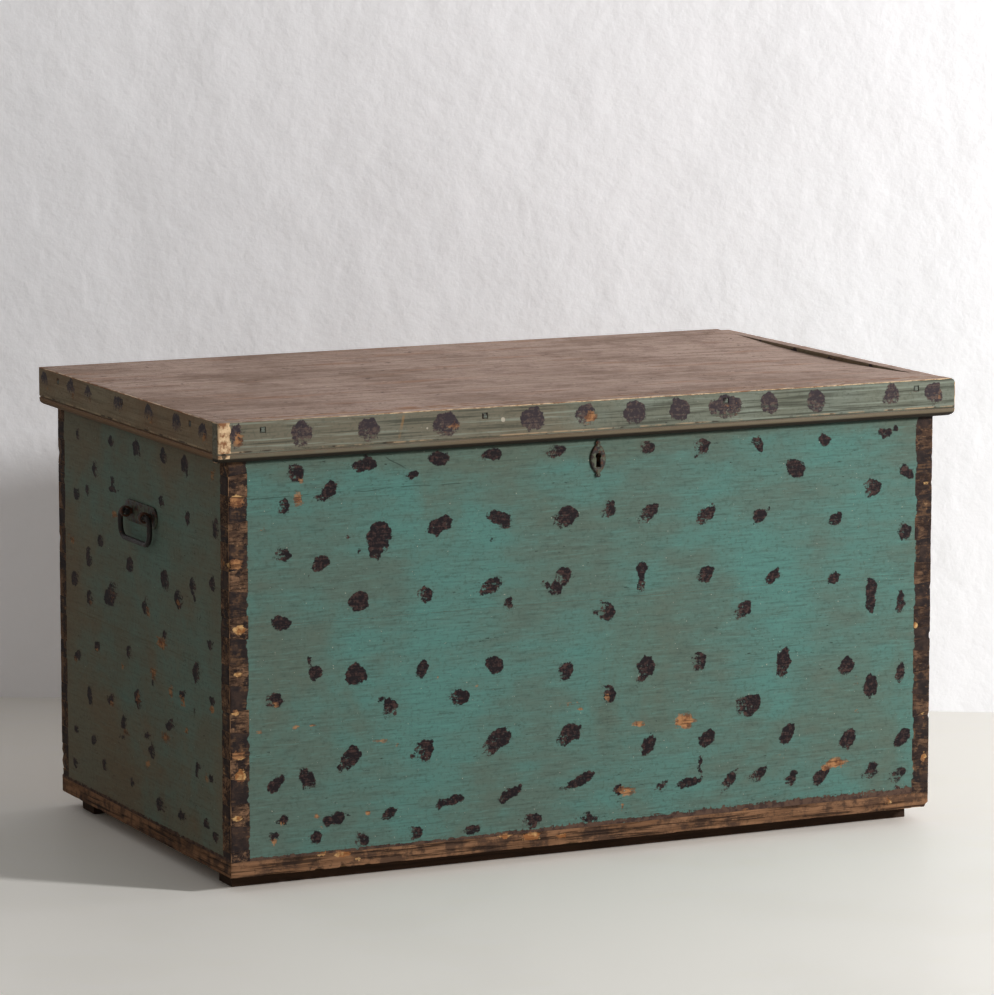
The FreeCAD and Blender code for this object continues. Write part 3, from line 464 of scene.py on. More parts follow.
def painted(name, grain, tones, dab_tones, worn_tones, ridges, cracks=(), profile=None, spots=()):
    """Old brushed paint with dark dabs, worn through to the wood.

    The ridges are waves per metre along and across the grain, and how strongly their painted shade and
    highlights show.
    A profile is the moulding's top, its fascia and how strongly painted shade darkens its foot.
    """
    clear, dull, stain = tones
    finish = Finish(name, grain)
    ridge_along, ridge_across, ridge_light_and_shade = ridges
    tone = finish.noise(6, 5, 0.62) * 0.72 + finish.grainy(9, 60, 4) * 0.28
    finish.ground(finish.mix(tone.over(0.36, 0.64), dull, clear), 0.66)
    # Random brown patches, and a browner tone where the part's browner value rises
    soil = finish.noise(3.4, 6, 0.62, distortion=0.6) + finish.reads("soil") * 0.2
    finish.lay(soil.over(0.5, 0.7) * 0.6, stain)
    finish.lay(finish.noise(190, 4, 0.7).over(0.5, 0.66) * 0.4, tinted(dull, 0.55))
    ridge = finish.grainy(ridge_along, ridge_across, 4, 0.65)
    # Painted shade in the grain's hollows and painted highlights on its raised ridges
    finish.lay(ridge.over(0.52, 0.64) * 0.6 * ridge_light_and_shade, tinted(dull, 0.4), rise=-0.0002)
    finish.lay((1 - ridge).over(0.54, 0.66) * 0.35 * ridge_light_and_shade, tinted(clear, 1.7), rise=0.0001)
    brush = finish.grainy(24, 480, 3)
    finish.lay(brush.over(0.54, 0.74) * 0.4, tinted(dull, 0.5), rise=-0.0001)
    nick = finish.grainy(70, 260, 4, 0.7).over(0.64, 0.7) * finish.noise(9, 2).over(0.4, 0.62)
    finish.lay(nick * 0.75, srgb(36, 33, 30), rise=-0.0003)
    finish.lay(finish.noise(290, 3, 0.6).over(0.71, 0.74) * 0.75, srgb(186, 180, 164))
    for crack in cracks:
        finish.lay(finish.stroke(*crack) * 0.5, DRIP_SHADE if profile else CRACK_SHADE, rise=-0.0004)
    if not profile:
        # Painted shadow: a dark band along the top of the walls, where the lid's moulding shades them
        finish.lay(finish.along("Z").over(*LID_SHADOW_BAND) * 0.75, srgb(22, 30, 28))

    band = finish.reads("band") + finish.wobble(120, 8) + finish.wobble(30, 8, 2)
    banded = band.over(-0.5, 0.8)
    mottle = finish.noise(60, 4, 0.65).over(0.4, 0.7)
    finish.lay(banded, finish.mix(mottle, srgb(38, 31, 31), srgb(66, 51, 44)))
    scuffed = finish.noise(75, 4, 0.65) * 0.45 + finish.noise(24, 3, 0.6) * 0.25 + ridge * 0.3
    finish.lay(banded * scuffed.over(0.5, 0.58) * 0.75, srgb(104, 78, 58), rise=-0.0003, rough=0.15)
    finish.lay(banded * scuffed.over(0.59, 0.63) * 0.8, srgb(176, 140, 104), rise=-0.0002)

    if profile:
        top, fascia, foot_painted_shade = profile
        drop = top - finish.along("Z")
        finish.lay(drop.over(fascia + 1, fascia + 2.5) * 0.8, finish.mix(tone.over(0.5, 0.7), stain, dull))
        # Painted shade: the downward-facing lower part of the moulding's round, darkened as if in shadow
        finish.lay(drop.over(fascia + 6, fascia + 8.5) * foot_painted_shade, srgb(24, 20, 18))
        bead = 1 - drop.away(fascia - 0.8).over(0.4, 1.8)
        finish.lay(bead * finish.noise(26, 5, 0.7).over(0.46, 0.6) * 0.75, srgb(176, 150, 120))
        finish.lay(bead * finish.noise(40, 3, 0.6).over(0.55, 0.62) * 0.8, srgb(46, 36, 32))

    dry = finish.reads("dry")
    ragged = finish.wobble(70, 12, 1) + finish.wobble(170, 7) + finish.wobble(420, 9) * (dry * 1.6 + 0.4)
    depth = finish.reads("dab") + ragged
    thin = finish.noise(260, 4, 0.7) * 0.6 + ridge * 0.4 + dry * 0.26
    dabbed = depth.over(-1.2, 0.2) * (1 - thin.over(0.6, 0.68))
    brown = finish.noise(150, 4, 0.75) * 0.7 + brush * 0.3 + dry * 0.1
    finish.lay(dabbed, finish.mix(brown.over(0.48, 0.64) * 0.9, *dab_tones), rise=0.0002, rough=-0.1)

    chafe = finish.wobble(95, 1.2, 4) + finish.wobble(300, 0.9) + (finish.grainy(30, 300) - 0.5) * 0.9
    edge = finish.reads("edge") * (1.4 if profile else 0.8)
    worn = (finish.reads("bare") + edge + chafe).over(0.55, 0.66)
    worn_wood = finish.mix(finish.noise(110, 4, 0.65).over(0.42, 0.62), *worn_tones)
    finish.lay(worn, worn_wood, rise=-0.0003, rough=0.15)
    rub = finish.reads("rub")
    fresh = (rub + chafe * 1.5).over(0.42, 0.6) * rub.over(0.02, 0.2) * (rub.over(0.1, 1.0) * 0.6 + 0.4)
    wood = finish.mix(finish.noise(85, 4, 0.65).over(0.42, 0.6), srgb(172, 124, 84), srgb(112, 74, 52))
    wood = finish.mix(ridge.over(0.5, 0.62) * 0.7, wood, srgb(64, 45, 35))
    finish.lay(fresh, wood, rise=-0.0005, rough=0.15)
    # Spots: pale flecks, and a dark spot that is painted shade inside a nail hole
    for across, up, width, shade in spots:
        tint = srgb(shade, shade * 0.95, shade * 0.86)
        finish.lay(finish.spot(across, up, width) * 0.85, tint, rise=-0.0005)
    return finish.close()


def corner_wood(name):
    """End grain of the corner joints, with patches of worn dark paint and fresh chips."""
    finish = Finish(name)
    saw = finish.grainy(70, 330, 4, 0.7)
    patch = finish.noise(55, 4, 0.65)
    right = finish.along("X").over(-100, 100)
    kept = right.math("MAXIMUM", right, finish.along("Y").over(200, 280))
    finish.ground(finish.mix(patch.over(0.42, 0.66), srgb(90, 68, 54), srgb(144, 110, 84)), 0.85)
    finish.lay(finish.noise(26, 4, 0.7).over(0.45, 0.6) * 0.7, srgb(58, 44, 38), rise=-0.0004)
    finish.lay(saw.over(0.5, 0.62) * 0.75, srgb(34, 26, 23), rise=-0.0006)
    finish.lay((1 - saw).over(0.58, 0.68) * 0.6, srgb(182, 146, 110), rise=0.0003)
    paint = (finish.noise(80, 4, 0.7) + finish.wobble(22, 0.6, 2) + kept * 0.05).over(0.52, 0.6)
    finish.lay(paint * 0.9, srgb(38, 30, 30), rise=0.0003, rough=-0.2)
    finish.lay(kept * 0.4, srgb(54, 42, 38))
    edge = (finish.reads("edge") * 0.9 + finish.wobble(90, 1.4, 4)).over(0.5, 0.65)
    finish.lay(edge * (1 - kept * 0.7) * 0.8, srgb(168, 130, 98))
    rub = finish.reads("rub")
    fresh = (rub + finish.wobble(95, 1.0, 4) + (saw - 0.5) * 1.2).over(0.4, 0.55)
    chipped = finish.mix(patch.over(0.42, 0.6), srgb(214, 172, 118), srgb(150, 100, 60))
    finish.lay(fresh, chipped, rise=-0.0006)
    return finish.close()


def bare_pine(name, grain, pale, dark, deep):
    """Unpainted old pine of the inside, the back and the underside."""
    finish = Finish(name, grain)
    colour, finish.height = pine(finish, pale, dark, deep)
    finish.ground(colour, 0.8)
    finish.lay(finish.noise(4, 6, 0.6).over(0.48, 0.7) * 0.35, tinted(deep, 0.9), rough=-0.1)
    finish.lay(finish.reads("edge") * 0.4, tinted(deep, 1.1))
    return finish.close()


def worn_lid(name):
    """The lid's bleached and stained top, with a browner strip along its front edge."""
    finish = Finish(name)
    drag = finish.grainy(3.5, 60, 5, 0.6)
    fibre = finish.grainy(14, 300, 5, 0.7)
    tone = drag * 0.35 + finish.noise(6, 5, 0.62) * 0.65 + finish.reads("pale") * 0.05
    finish.ground(finish.mix(tone.over(0.36, 0.64), srgb(156, 130, 115), srgb(200, 173, 159)), 0.72)
    finish.height = drag * 0.0006
    finish.lay(finish.noise(22, 5, 0.68).over(0.52, 0.66) * 0.4, srgb(126, 98, 84))
    finish.lay(finish.grainy(4, 26, 5, 0.65).over(0.54, 0.68) * 0.5, srgb(176, 124, 92))
    finish.lay(fibre.over(0.5, 0.64) * 0.5, srgb(104, 80, 69), rise=-0.0003, rough=0.1)
    finish.lay((1 - fibre).over(0.54, 0.66) * 0.45, srgb(226, 206, 192), rise=0.0001)
    finish.lay(finish.grainy(11, 150, 4, 0.7).over(0.62, 0.7) * 0.5, srgb(226, 210, 198))
    finish.lay(finish.noise(190, 4, 0.7).over(0.54, 0.66) * 0.4, srgb(100, 80, 70))
    chafe = finish.wobble(40, 1.1, 4) + (drag - 0.5) * 1.4 + (fibre - 0.5) * 0.8
    rubbed = (finish.reads("bare") + chafe).over(0.45, 0.7)
    finish.lay(rubbed * 0.75, finish.mix(fibre.over(0.42, 0.6), srgb(188, 138, 104), srgb(124, 84, 60)))
    finish.lay(finish.noise(70, 3, 0.6).over(0.66, 0.7) * 0.6, srgb(62, 47, 41), rise=-0.0003)
    edge = (finish.reads("edge") * 1.4 + finish.wobble(50, 2.2, 4)).over(0.4, 0.55)
    edge_wood = finish.mix(finish.noise(45).over(0.42, 0.6), srgb(236, 212, 182), srgb(150, 104, 74))
    finish.lay(edge * 0.9, edge_wood)
    return finish.close()


def foot_wood(name, grain):
    """The bottom boards' worn brown edges."""
    finish = Finish(name, grain)
    colour, finish.height = pine(finish, srgb(144, 106, 78), srgb(112, 80, 57), srgb(60, 46, 38))
    finish.ground(colour, 0.8)
    split = finish.grainy(9, 230, 5, 0.7)
    finish.lay(finish.noise(34, 5, 0.65).over(0.46, 0.6) * 0.7, srgb(58, 45, 40), rise=-0.0004)
    finish.lay(split.over(0.52, 0.62) * 0.8, srgb(30, 23, 20), rise=-0.0008)
    finish.lay((1 - split).over(0.58, 0.68) * 0.5, srgb(158, 118, 84))
    finish.lay(finish.noise(90, 5, 0.75).over(0.53, 0.63) * 0.45, srgb(50, 40, 36), rise=-0.0003)
    chafe = finish.wobble(80, 1.3, 4) + finish.wobble(260, 0.9) + (split - 0.5) * 1.0
    fresh = (finish.reads("rub") + finish.reads("edge") * 0.2 + chafe).over(0.5, 0.62)
    chipped = finish.mix(finish.noise(70).over(0.4, 0.6), srgb(220, 178, 124), srgb(156, 102, 62))
    finish.lay(fresh, chipped, rise=-0.0006)
    return finish.close()


def wrought_iron(name, rust, paint=None):
    """Hand-forged iron, browned by rust to a share of its face, and painted where a colour is given."""
    finish = Finish(name)
    pit = finish.noise(700, 4, 0.7)
    rusty = finish.noise(140, 5, 0.7).over(0.62 - 0.2 * rust, 0.72 - 0.2 * rust)
    finish.ground(srgb(40, 35, 33), 0.5)
    finish.height = finish.noise(90) * 0.0008 + pit * 0.00025
    finish.lay(rusty, finish.mix(pit.over(0.4, 0.65), srgb(98, 60, 40), srgb(66, 42, 32)), rough=0.28)
    finish.lay(pit.over(0.6, 0.75) * 0.6, srgb(24, 21, 20))
    if paint:
        kept = 1 - (finish.noise(110, 4, 0.65) + finish.noise(30, 2) * 0.4).over(0.64, 0.74)
        coat = finish.mix(pit.over(0.4, 0.7) * 0.35, paint, tinted(paint, 0.4))
        finish.lay(kept, coat, rise=0.0001, rough=0.1)
    return finish.close(metallic=0.35, specular=0.4)


TEAL = srgb(84, 126, 118), srgb(90, 108, 98), srgb(94, 97, 83)
END_TEAL = srgb(100, 123, 112), srgb(106, 106, 90), srgb(120, 98, 73)
LONG_GREY = srgb(120, 128, 117), srgb(108, 110, 96), srgb(112, 97, 78)
SHORT_GREY = srgb(136, 126, 104), srgb(124, 103, 80), srgb(124, 94, 68)
DARK_DABS = srgb(28, 22, 25), srgb(78, 56, 51)
FADED_DABS = srgb(56, 48, 52), srgb(96, 80, 73)
DIRTY_WOOD = srgb(92, 71, 60), srgb(66, 51, 46)
BRIGHT_WOOD = srgb(228, 196, 156), srgb(142, 98, 68)
BROWN_WOOD = srgb(166, 118, 88), srgb(118, 84, 62)
PALE_PINE = srgb(172, 136, 98), srgb(136, 100, 68), srgb(86, 62, 44)
# Pine for the runners, darkened as painted shade of the space under the chest
RUNNER_PINE_PAINTED_SHADE = srgb(78, 58, 45), srgb(62, 46, 36), srgb(42, 32, 26)
CRACK_SHADE = srgb(34, 36, 33)
DRIP_SHADE = srgb(158, 118, 74)
# Moulding profiles: top level, fascia height and how strongly painted shade darkens the moulding's foot
LONG_PROFILE = lid_high.z / MM, 40, 0.9
SHORT_PROFILE = lid_high.z / MM, 40, 0.3
FINISHES = {
    "front_paint": painted("front_paint", "X", TEAL, DARK_DABS, DIRTY_WOOD, (26, 330, 0.5), FRONT_CRACKS),
    "end_paint": painted("end_paint", "Y", END_TEAL, DARK_DABS, DIRTY_WOOD, (20, 330, 0.25)),
    "long_moulding_paint": painted(
        "long_moulding_paint", "X", LONG_GREY, FADED_DABS, BRIGHT_WOOD, (6, 260, 1.3),
        MOULDING_DRIPS, LONG_PROFILE, MOULDING_SPOTS),
    "short_moulding_paint": painted(
        "short_moulding_paint", "Y", SHORT_GREY, FADED_DABS, BROWN_WOOD, (6, 230, 0.6), (), SHORT_PROFILE),
    "corner_wood": corner_wood("corner_wood"),
    "long_pine": bare_pine("long_pine", "X", *PALE_PINE),
    "short_pine": bare_pine("short_pine", "Y", *PALE_PINE),
    "runner_pine_painted_shade": bare_pine("runner_pine_painted_shade", "X", *RUNNER_PINE_PAINTED_SHADE),
    "worn_lid": worn_lid("worn_lid"),
    "long_foot_wood": foot_wood("long_foot_wood", "X"),
    "short_foot_wood": foot_wood("short_foot_wood", "Y"),
    "dark_iron": wrought_iron("dark_iron", 0.2),
    "rusty_iron": wrought_iron("rusty_iron", 1.0),
    "painted_iron": wrought_iron("painted_iron", 0.6, srgb(84, 88, 72)),
    "painted_nails": wrought_iron("painted_nails", 0.5, srgb(100, 106, 96)),
}


# Shaping

def merged_copy(node):
    """The node's mesh as one closed shell with its flat faces whole."""
    bm = bmesh.new()
    bm.from_mesh(frame["nodes"][node].data)
    bmesh.ops.remove_doubles(bm, verts=bm.verts, dist=MERGE_GAP)
    bmesh.ops.dissolve_limit(bm, angle_limit=FLAT_ANGLE, verts=bm.verts, edges=bm.edges)
    return bm


def facing(face):
    """The direction that a face looks in, as one of the six."""
    return max(DIRECTIONS, key=lambda name: face.normal.dot(DIRECTIONS[name]))


def sliced(bm, axis, pitch, sides=None):
    """Cuts the faces of the given sides, or all, into strips square to an axis, finer beside the rims."""
    normal = Vector([float(i == axis) for i in range(3)])
    low = min(v.co[axis] for v in bm.verts)
    high = max(v.co[axis] for v in bm.verts)
    count = max(1, round((high - low) / pitch))
    places = [low + (high - low) * i / count for i in range(1, count)]
    if high - low > 4 * RIMS[-1]:
        places += [low + rim for rim in RIMS] + [high - rim for rim in RIMS]
    faces = [f for f in bm.faces if sides is None or facing(f) in sides]
    geometry = [*{v for f in faces for v in f.verts}, *{e for f in faces for e in f.edges}, *faces]
    for place in sorted(places):
        cut = bmesh.ops.bisect_plane(
            bm, geom=geometry, dist=CUT_GAP, plane_co=normal * place, plane_no=normal)
        geometry = cut["geom"]


def on_box(place, low, high):
    """How many of a place's coordinates lie on a box's faces."""
    return sum(min(abs(place[i] - low[i]), abs(place[i] - high[i])) < ON_BOX for i in range(3))


def edge_depth(place, low, high, chip):
    """How deep an edge is worn at a place: a little at the joints and more at the outer corners."""
    if on_box(place, low, high) < 2:
        return JOINT_WEAR
    rough = noise.noise(place * 160) * 0.5 + 0.5
    gap = max(0, noise.noise(place * CHIP_SCALE) - 0.28)
    return CORNER_WEAR * (0.5 + rough) + chip * gap


def sharp_edges(bm):
    bm.normal_update()
    return [e for e in bm.edges if e.is_manifold and e.calc_face_angle() > SHARP_ANGLE]


def wear(bm, low, high, chip):
    """Eases the sharp edges and writes down where the outer ones are."""
    edge_mark = bm.verts.layers.float.new("edge")
    sharp = {v for e in sharp_edges(bm) for v in e.verts}
    for v in sharp:
        v[edge_mark] = float(on_box(v.co, low, high) >= 2)
    depths = {v: edge_depth(v.co, low, high, chip) for v in sharp}
    for v, depth in depths.items():
        v.co -= v.normal * depth


def dented(bm, centre, radius):
    """Knocks a ragged hollow into the surface round a place just outside it."""
    for v in bm.verts:
        way = v.co - centre
        reach = radius * (0.85 + 0.3 * noise.noise(v.co * 120))
        if way.length < reach:
            v.co = centre + way.normalized() * reach


def dressed(bm, name, node, finishes):
    """Makes a finished piece of a shaped mesh, in place of its node."""
    sharp = set(sharp_edges(bm))
    for face in bm.faces:
        face.smooth = True
    for edge in bm.edges:
        edge.smooth = edge not in sharp
    mesh = bpy.data.meshes.new(name)
    bm.to_mesh(mesh)
    bm.free()
    for finish in finishes:
        mesh.materials.append(FINISHES[finish])
    piece = bpy.data.objects.new(name, mesh)
    bpy.context.scene.collection.objects.link(piece)
    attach(piece, BODY[node])
    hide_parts(node)
    return piece


def written(piece, **values):
    """Writes values for each vertex of a piece, for its finish to read."""
    for name, numbers in values.items():
        layer = piece.data.attributes.new(name, "FLOAT", "POINT")
        layer.data.foreach_set("value", np.asarray(numbers, dtype=np.float32))


def places_of(piece):
    """The piece's vertices in millimetres, as three rows."""
    places = np.empty(len(piece.data.vertices) * 3)
    piece.data.vertices.foreach_get("co", places)
    return places.reshape(-1, 3).T / MM


def ramp(values, low, high):
    return np.clip((values - low) / (high - low), 0, 1)


def board(node, sides, default, low, high, pitches, cut_sides, chip=CORNER_CHIP, shape=None):
    """A worn copy of a board: cut up, finished side by side, worn at its edges and knocked about."""
    bm = merged_copy(node)
    names = [default, *dict.fromkeys(sides.values())]
    for face in bm.faces:
        face.material_index = names.index(sides.get(facing(face), default))
    for axis, pitch in pitches:
        sliced(bm, AXIS[axis], pitch, cut_sides)
    wear(bm, low, high, chip)
    if shape:
        shape(bm)
    return dressed(bm, node + "_worn", node, names)


# Case

# Chips at each corner, as height and radius, and along the front's foot, as place and radius, in metres
CORNER_KNOCKS = {
    ("right", "front"): [
        (0.512, 0.010), (0.478, 0.008), (0.402, 0.012), (0.330, 0.008), (0.262, 0.010), (0.150, 0.012)],
    ("left", "front"): [(0.517, 0.010), (0.435, 0.009), (0.349, 0.009), (0.183, 0.010), (0.155, 0.008)],
    ("left", "back"): [(0.500, 0.010), (0.240, 0.012), (0.069, 0.013), (0.054, 0.015)],
    ("right", "back"): [(0.450, 0.010), (0.180, 0.012)],
}
FOOT_KNOCKS = [(-0.40, 0.009), (-0.365, 0.010), (-0.33, 0.008), (-0.1, 0.008), (0.17, 0.008)]
CORNER_KNOCK_SHARE = 0.45
FOOT_KNOCK_SHARE = 0.4
FOOT_CORNER_OUT = Vector((0.006, -0.006, -0.004))
FOOT_CORNER_RADIUS = 0.022


def corner_knocks(bm):
    """Chips knocked out of the corners and the foot, where the old boards are broken."""
    reach = {"left": case_low.x, "right": case_high.x, "front": case_low.y, "back": case_high.y}
    for (end, face), knocks in CORNER_KNOCKS.items():
        out = DIRECTIONS[end] + DIRECTIONS[face]
        for up, radius in knocks:
            corner = Vector((reach[end], reach[face], up))
            dented(bm, corner + out * radius * CORNER_KNOCK_SHARE, radius)
    for across, radius in FOOT_KNOCKS:
        out = radius * FOOT_KNOCK_SHARE
        dented(bm, Vector((across, case_low.y - out, case_low.z - out)), radius)
    foot_corner = Vector((case_high.x, case_low.y, case_low.z))
    dented(bm, foot_corner + FOOT_CORNER_OUT, FOOT_CORNER_RADIUS)


def mark_case(piece, axis, marks, foot_wear, soil):
    """Writes the marks of a wall along an axis; its ends that show on the front take the front's rubs."""
    x, y, z = places_of(piece)
    across = (x, y)[AXIS[axis]]
    depth, dry, rub = marks.read(across, z)
    _, _, front_rub = front_marks.read(x, z)
    low, high = case_low[AXIS[axis]] / MM, case_high[AXIS[axis]] / MM
    worn_height = foot_wear(across)
    bare = 0.95 * (1 - ramp(z - wall_foot / MM, 0.5 * worn_height, 1.5 * worn_height))
    written(piece, dab=depth, dry=dry, bare=bare, rub=np.where(y < case_low.y / MM + 1, front_rub, rub),
            band=BAND_WIDTH - np.minimum(across - low, high - across), soil=soil(across, z))


front_marks = side_marks(FRONT_DABS, FRONT_RUBS + FOOT_RUBS, case_low.x / MM, 1)
left_marks = side_marks(LEFT_DABS, LEFT_RUBS, case_high.y / MM, -1)
right_marks = side_marks(scattered(width=620, height=530, spacing=82, seed=5), LEFT_RUBS, case_low.y / MM, 1)


def front_foot_wear(across):
    return 4.5 + 6 * ramp(across, -200, 300)


def end_foot_wear(across):
    return np.full(len(across), 5.0)


# Browner towards the top of the front, under the lid
def front_soil(across, up):
    return ramp(up, 530, 565)


# Browner towards the back, the foot and the top of an end
def end_soil(across, up):
    return 0.9 * ramp(across, 100, 300) + 0.8 * (1 - ramp(up, 60, 200)) + 0.7 * ramp(up, 480, 560)


for row in ("upper", "lower"):
    front = board(
        f"front_{row}_plank",
        {"front": "front_paint", "left": "corner_wood", "right": "corner_wood"}, "long_pine",
        case_low, case_high, FINE_PITCHES, {"front", "left", "right"}, shape=corner_knocks)
    mark_case(front, "X", front_marks, front_foot_wear, front_soil)
    back = board(
        f"back_{row}_plank", {"left": "corner_wood", "right": "corner_wood"}, "long_pine",
        case_low, case_high, (("X", PLAIN_PITCH), ("Z", PLAIN_PITCH)), {"back", "left", "right"},
        shape=corner_knocks)
    for side, marks in (("left", left_marks), ("right", right_marks)):
        end = board(
            f"{side}_{row}_plank",
            {side: "end_paint", "front": "corner_wood", "back": "corner_wood"}, "short_pine",
            case_low, case_high, FINE_PITCHES, {side, "front", "back"}, shape=corner_knocks)
        mark_case(end, "Y", marks, end_foot_wear, end_soil)

for node in BOTTOMS:
    piece = board(
        node,
        {"front": "long_foot_wood", "left": "short_foot_wood", "right": "short_foot_wood"}, "long_pine",
        case_low, case_high, FINE_PITCHES, {"front", "back", "left", "right"}, shape=corner_knocks)
    x, y, z = places_of(piece)
    written(piece, rub=front_marks.read(x, z)[2] * (y < case_low.y / MM + 1))

# The runners take the darkened pine that paints the shade under the chest
for node in ("front_runner", "rear_runner"):
    low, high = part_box(node)
    board(node, {}, "runner_pine_painted_shade", low, high, (("X", PLAIN_PITCH),), None)


# Lid

CUP_RIGHT = 8 * MM
CUP_LEFT = 2 * MM
SIDE_MOULDING_DROP = 2.2 * MM
FASCIA_MIDDLE = 20
FASCIA_DAB = 30
END_ROUND = 10 * MM
END_GRAIN = 15, 19


def cupped(bm):
    """Sinks the panel's top between its front and back edges, most at the right end."""
    middle = (panel_low.y + panel_high.y) / 2
    half = (panel_high.y - panel_low.y) / 2
    for v in bm.verts:
        along = (v.co.x - panel_low.x) / (panel_high.x - panel_low.x)
        cup = CUP_LEFT + (CUP_RIGHT - CUP_LEFT) * along ** 3
        hollow = max(0, 1 - ((v.co.y - middle) / half) ** 2) ** 1.3
        height = (v.co.z - panel_low.z) / (panel_high.z - panel_low.z)
        v.co.z -= cup * hollow * height


for node in LID_PLANKS:
    piece = board(
        node, {"top": "worn_lid"}, "long_pine", panel_low, panel_high,
        (("X", PLAIN_PITCH), ("Y", PLAIN_PITCH)), {"top"}, chip=1.5 * MM, shape=cupped)
    x, y, z = places_of(piece)
    from_front = y - panel_low.y / MM
    written(piece, bare=0.6 * (1 - ramp(from_front, 5, 45)), pale=ramp(x, -500, 450))


def rounded_end(bm):
    """Rounds the upper and lower corner of the front moulding's right end."""
    for level, way in ((lid_high.z, 1), (moulding_foot, -1)):
        middle_x = lid_high.x - END_ROUND
        middle_z = level - way * END_ROUND
        for v in bm.verts:
            out, up = v.co.x - middle_x, v.co.z - middle_z
            reach = math.hypot(out, up)
            if out > 0 and up * way > 0 and reach > END_ROUND:
                v.co.x = middle_x + out * END_ROUND / reach
                v.co.z = middle_z + up * END_ROUND / reach


def lowered(bm):
    """Lets a side moulding's top sit a little below the panel."""
    for v in bm.verts:
        height = (v.co.z - lid_low.z) / (lid_high.z - lid_low.z)
        v.co.z -= SIDE_MOULDING_DROP * max(0, height)


fascia_up = lid_high.z / MM - FASCIA_MIDDLE
moulding_marks_of = {
    "front_moulding": moulding_marks(FRONT_MOULDING_DABS, case_low.x / MM, 1, fascia_up, FASCIA_DAB),
    "left_moulding": moulding_marks(LEFT_MOULDING_DABS, case_high.y / MM, -1, fascia_up, FASCIA_DAB),
    "right_moulding": moulding_marks(LEFT_MOULDING_DABS, case_low.y / MM, 1, fascia_up, FASCIA_DAB),
}
MOULDING_SHAPES = {"front_moulding": rounded_end, "right_moulding": lowered}
for node in MOULDINGS:
    grain = "X" if node == "front_moulding" else "Y"
    finish = "long_moulding_paint" if grain == "X" else "short_moulding_paint"
    piece = board(
        node, {"top": "worn_lid"}, finish, lid_low, lid_high, FINE_PITCHES, None, chip=3 * MM,
        shape=MOULDING_SHAPES.get(node))
    places = places_of(piece)
    across, up = places[AXIS[grain]], places[2]
    depth, dry, rub = moulding_marks_of[node].read(across, up)
    from_left = places[0] - lid_low.x / MM
    end_grain = (1 - ramp(from_left, *END_GRAIN)) * (places[1] < lid_low.y / MM + 1)
    # The front moulding turns browner towards its left end
    written(piece, dab=depth, dry=dry, rub=rub, bare=1.2 * end_grain,
            band=np.full(len(across), FAR_FROM_PAINT), pale=ramp(places[0], -500, 450),
            soil=1.2 * (grain == "X") * (1 - ramp(places[0], -450, 0)))


# Ironwork

FORGE_DENT = 0.2 * MM
EASE = 0.5 * MM
NOT_FORGED = {"left_hinge_pin", "right_hinge_pin", "key_post", "bolt_spring"}
IRON_FINISHES = {
    "escutcheon": "painted_iron",
    "escutcheon_pins": "painted_iron",
    "left_handle_plate": "painted_iron",
    "right_handle_plate": "painted_iron",
    "left_bail": "dark_iron",
    "right_bail": "dark_iron",
    "moulding_nails": "painted_nails",
}


def forged(node, finish):
    """A copy of an iron piece with its edges eased and its faces uneven from the hammer."""
    bm = merged_copy(node)
    bmesh.ops.bevel(
        bm, geom=sharp_edges(bm), offset=EASE, segments=2, profile=0.5, affect="EDGES", clamp_overlap=True,
        material=-1)
    bm.normal_update()
    for v in bm.verts:
        v.co -= v.normal * FORGE_DENT * (0.5 + 0.5 * noise.noise(v.co * 150))
    return dressed(bm, node + "_forged", node, [finish])


made = {*WALLS, *BOTTOMS, *LID_PLANKS, *MOULDINGS, "front_runner", "rear_runner"}
for node, piece in frame["nodes"].items():
    if node in made:
        continue
    finish = IRON_FINISHES.get(node, "rusty_iron")
    if node in NOT_FORGED or node.endswith(("nails", "pins")):
        piece.data.materials.clear()
        piece.data.materials.append(FINISHES[finish])
    else:
        forged(node, finish)


# Stage, light and camera

WALL_POINT = Vector((-0.325, 1.120, 0))
WALL_WAY = Vector((0.8638, -0.5039, 0))
KEY_WAY = Vector((0.655, -0.756, 0)).normalized()
KEY_ELEVATION = math.radians(18.5)
KEY_DISTANCE = 5.0
KEY_SIZE = 0.5
FLOOR_REACH = 9
CAMERA_PLACE = (-2.97913, -6.23305, 1.48391)
CAMERA_DOWN = 8.53
CAMERA_TURN = -25.59
CAMERA_LENS = 181.88
CAMERA_SENSOR = 36
WALL_LEFT = 3
WALL_RIGHT = 4
WALL_RISE = Vector((0, 0, 2.6))
KEY_POWER = 190
FILL_LEVEL = 0.27


def flat_sheet(name, corners, material):
    bm = bmesh.new()
    bm.faces.new([bm.verts.new(corner) for corner in corners])
    mesh = bpy.data.meshes.new(name)
    bm.to_mesh(mesh)
    bm.free()
    mesh.materials.append(material)
    sheet = bpy.data.objects.new(name, mesh)
    bpy.context.scene.collection.objects.link(sheet)


def seen_paler(finish, colour, share):
    """A colour that the camera, metal and glass see paler than the light that it throws on the object."""
    seen = finish.node("LightPath", output="Is Camera Ray")
    mirrored = finish.node("LightPath", output="Is Glossy Ray")
    through = finish.node("LightPath", output="Is Transmission Ray")
    return finish.mix(seen + mirrored + through, colour, tinted(colour, share))


def floor_finish():
    finish = Finish("pale_floor")
    finish.ground(seen_paler(finish, srgb(228, 225, 219), 1.4), 0.45)
    finish.lay(finish.noise(3, 4, 0.6).over(0.45, 0.6) * 0.06, srgb(200, 194, 186))
    finish.height = finish.noise(5, 3) * 0.0006
    return finish.close()


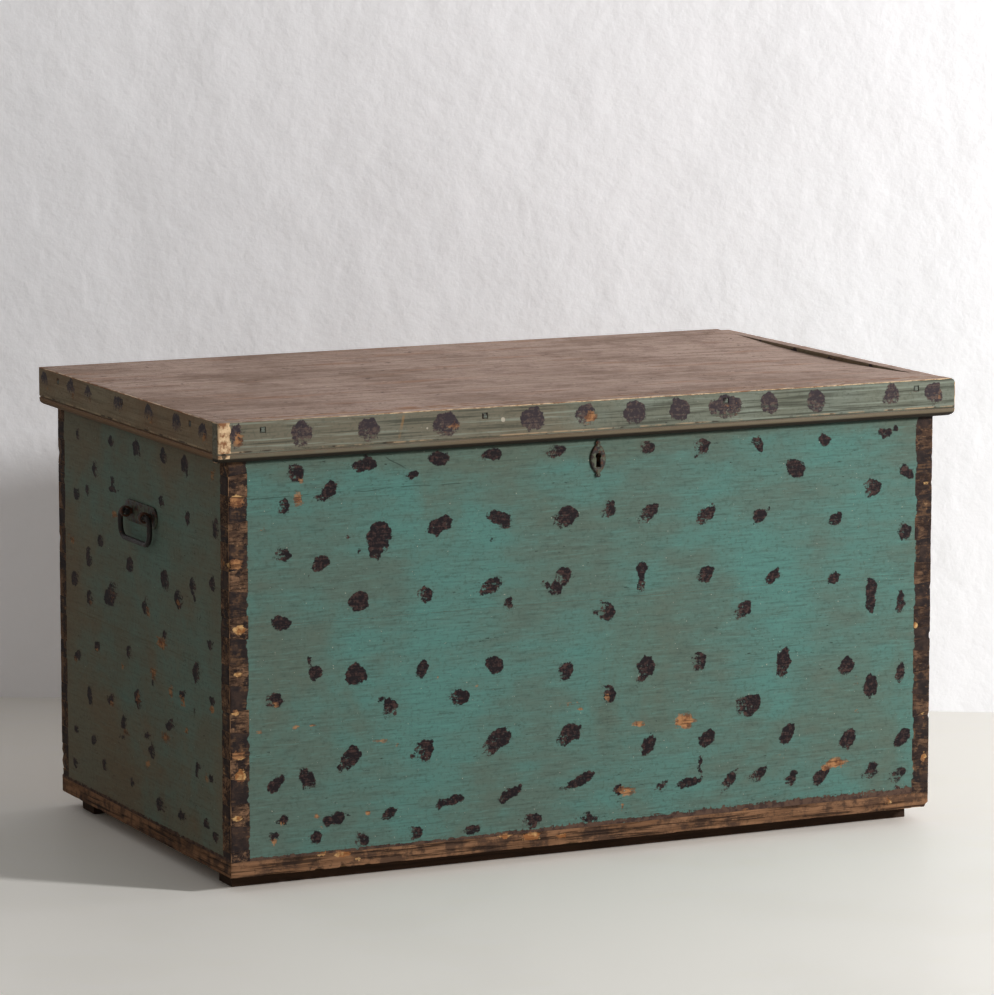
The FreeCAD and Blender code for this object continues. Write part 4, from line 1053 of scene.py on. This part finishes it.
def backdrop_finish():
    """A pale wall that is clear when it is seen from behind."""
    finish = Finish("pale_backdrop")
    finish.ground(seen_paler(finish, srgb(243, 243, 246), 1.36), 0.9)
    finish.height = finish.noise(14, 5, 0.6) * 0.004 + finish.noise(2.5, 2) * 0.012
    finish.close()
    clear = finish.node("BsdfTransparent")
    behind = finish.node("NewGeometry", output="Backfacing")
    both = finish.node("MixShader", None, {0: behind, 1: Tone(finish, finish.shader.outputs[0]), 2: clear})
    finish.plug(finish.tree.nodes["Material Output"].inputs["Surface"], both)
    return finish.material


floor_corners = [(x * FLOOR_REACH, y * FLOOR_REACH, 0) for x, y in ((-1, -1), (1, -1), (1, 1), (-1, 1))]
flat_sheet("floor", floor_corners, floor_finish())
wall_left = WALL_POINT - WALL_WAY * WALL_LEFT
wall_right = WALL_POINT + WALL_WAY * WALL_RIGHT
wall_corners = [wall_left, wall_right, wall_right + WALL_RISE, wall_left + WALL_RISE]
flat_sheet("backdrop", wall_corners, backdrop_finish())

centre = (cad_box[0] + cad_box[1]) / 2
key_data = bpy.data.lights.new("key", "AREA")
key_data.shape = "DISK"
key_data.size = KEY_SIZE
key_data.energy = KEY_POWER
key = bpy.data.objects.new("key", key_data)
toward_key = KEY_WAY * math.cos(KEY_ELEVATION) + Vector((0, 0, math.sin(KEY_ELEVATION)))
key.location = centre + toward_key * KEY_DISTANCE
key.rotation_euler = toward_key.to_track_quat("Z", "Y").to_euler()
bpy.context.scene.collection.objects.link(key)

world = bpy.data.worlds.new("studio")
bpy.context.scene.world = world
world.use_nodes = True
surround = world.node_tree.nodes["Background"]
surround.inputs["Color"].default_value = srgb(250, 248, 245)
surround.inputs["Strength"].default_value = FILL_LEVEL

camera_data = bpy.data.cameras.new("photograph")
camera_data.sensor_width = CAMERA_SENSOR
camera_data.lens = CAMERA_LENS
camera = bpy.data.objects.new("photograph", camera_data)
camera.location = CAMERA_PLACE
camera.rotation_euler = (math.radians(90 - CAMERA_DOWN), 0, math.radians(CAMERA_TURN))
bpy.context.scene.collection.objects.link(camera)
bpy.context.scene.camera = camera
bpy.context.scene.view_settings.view_transform = "Standard"
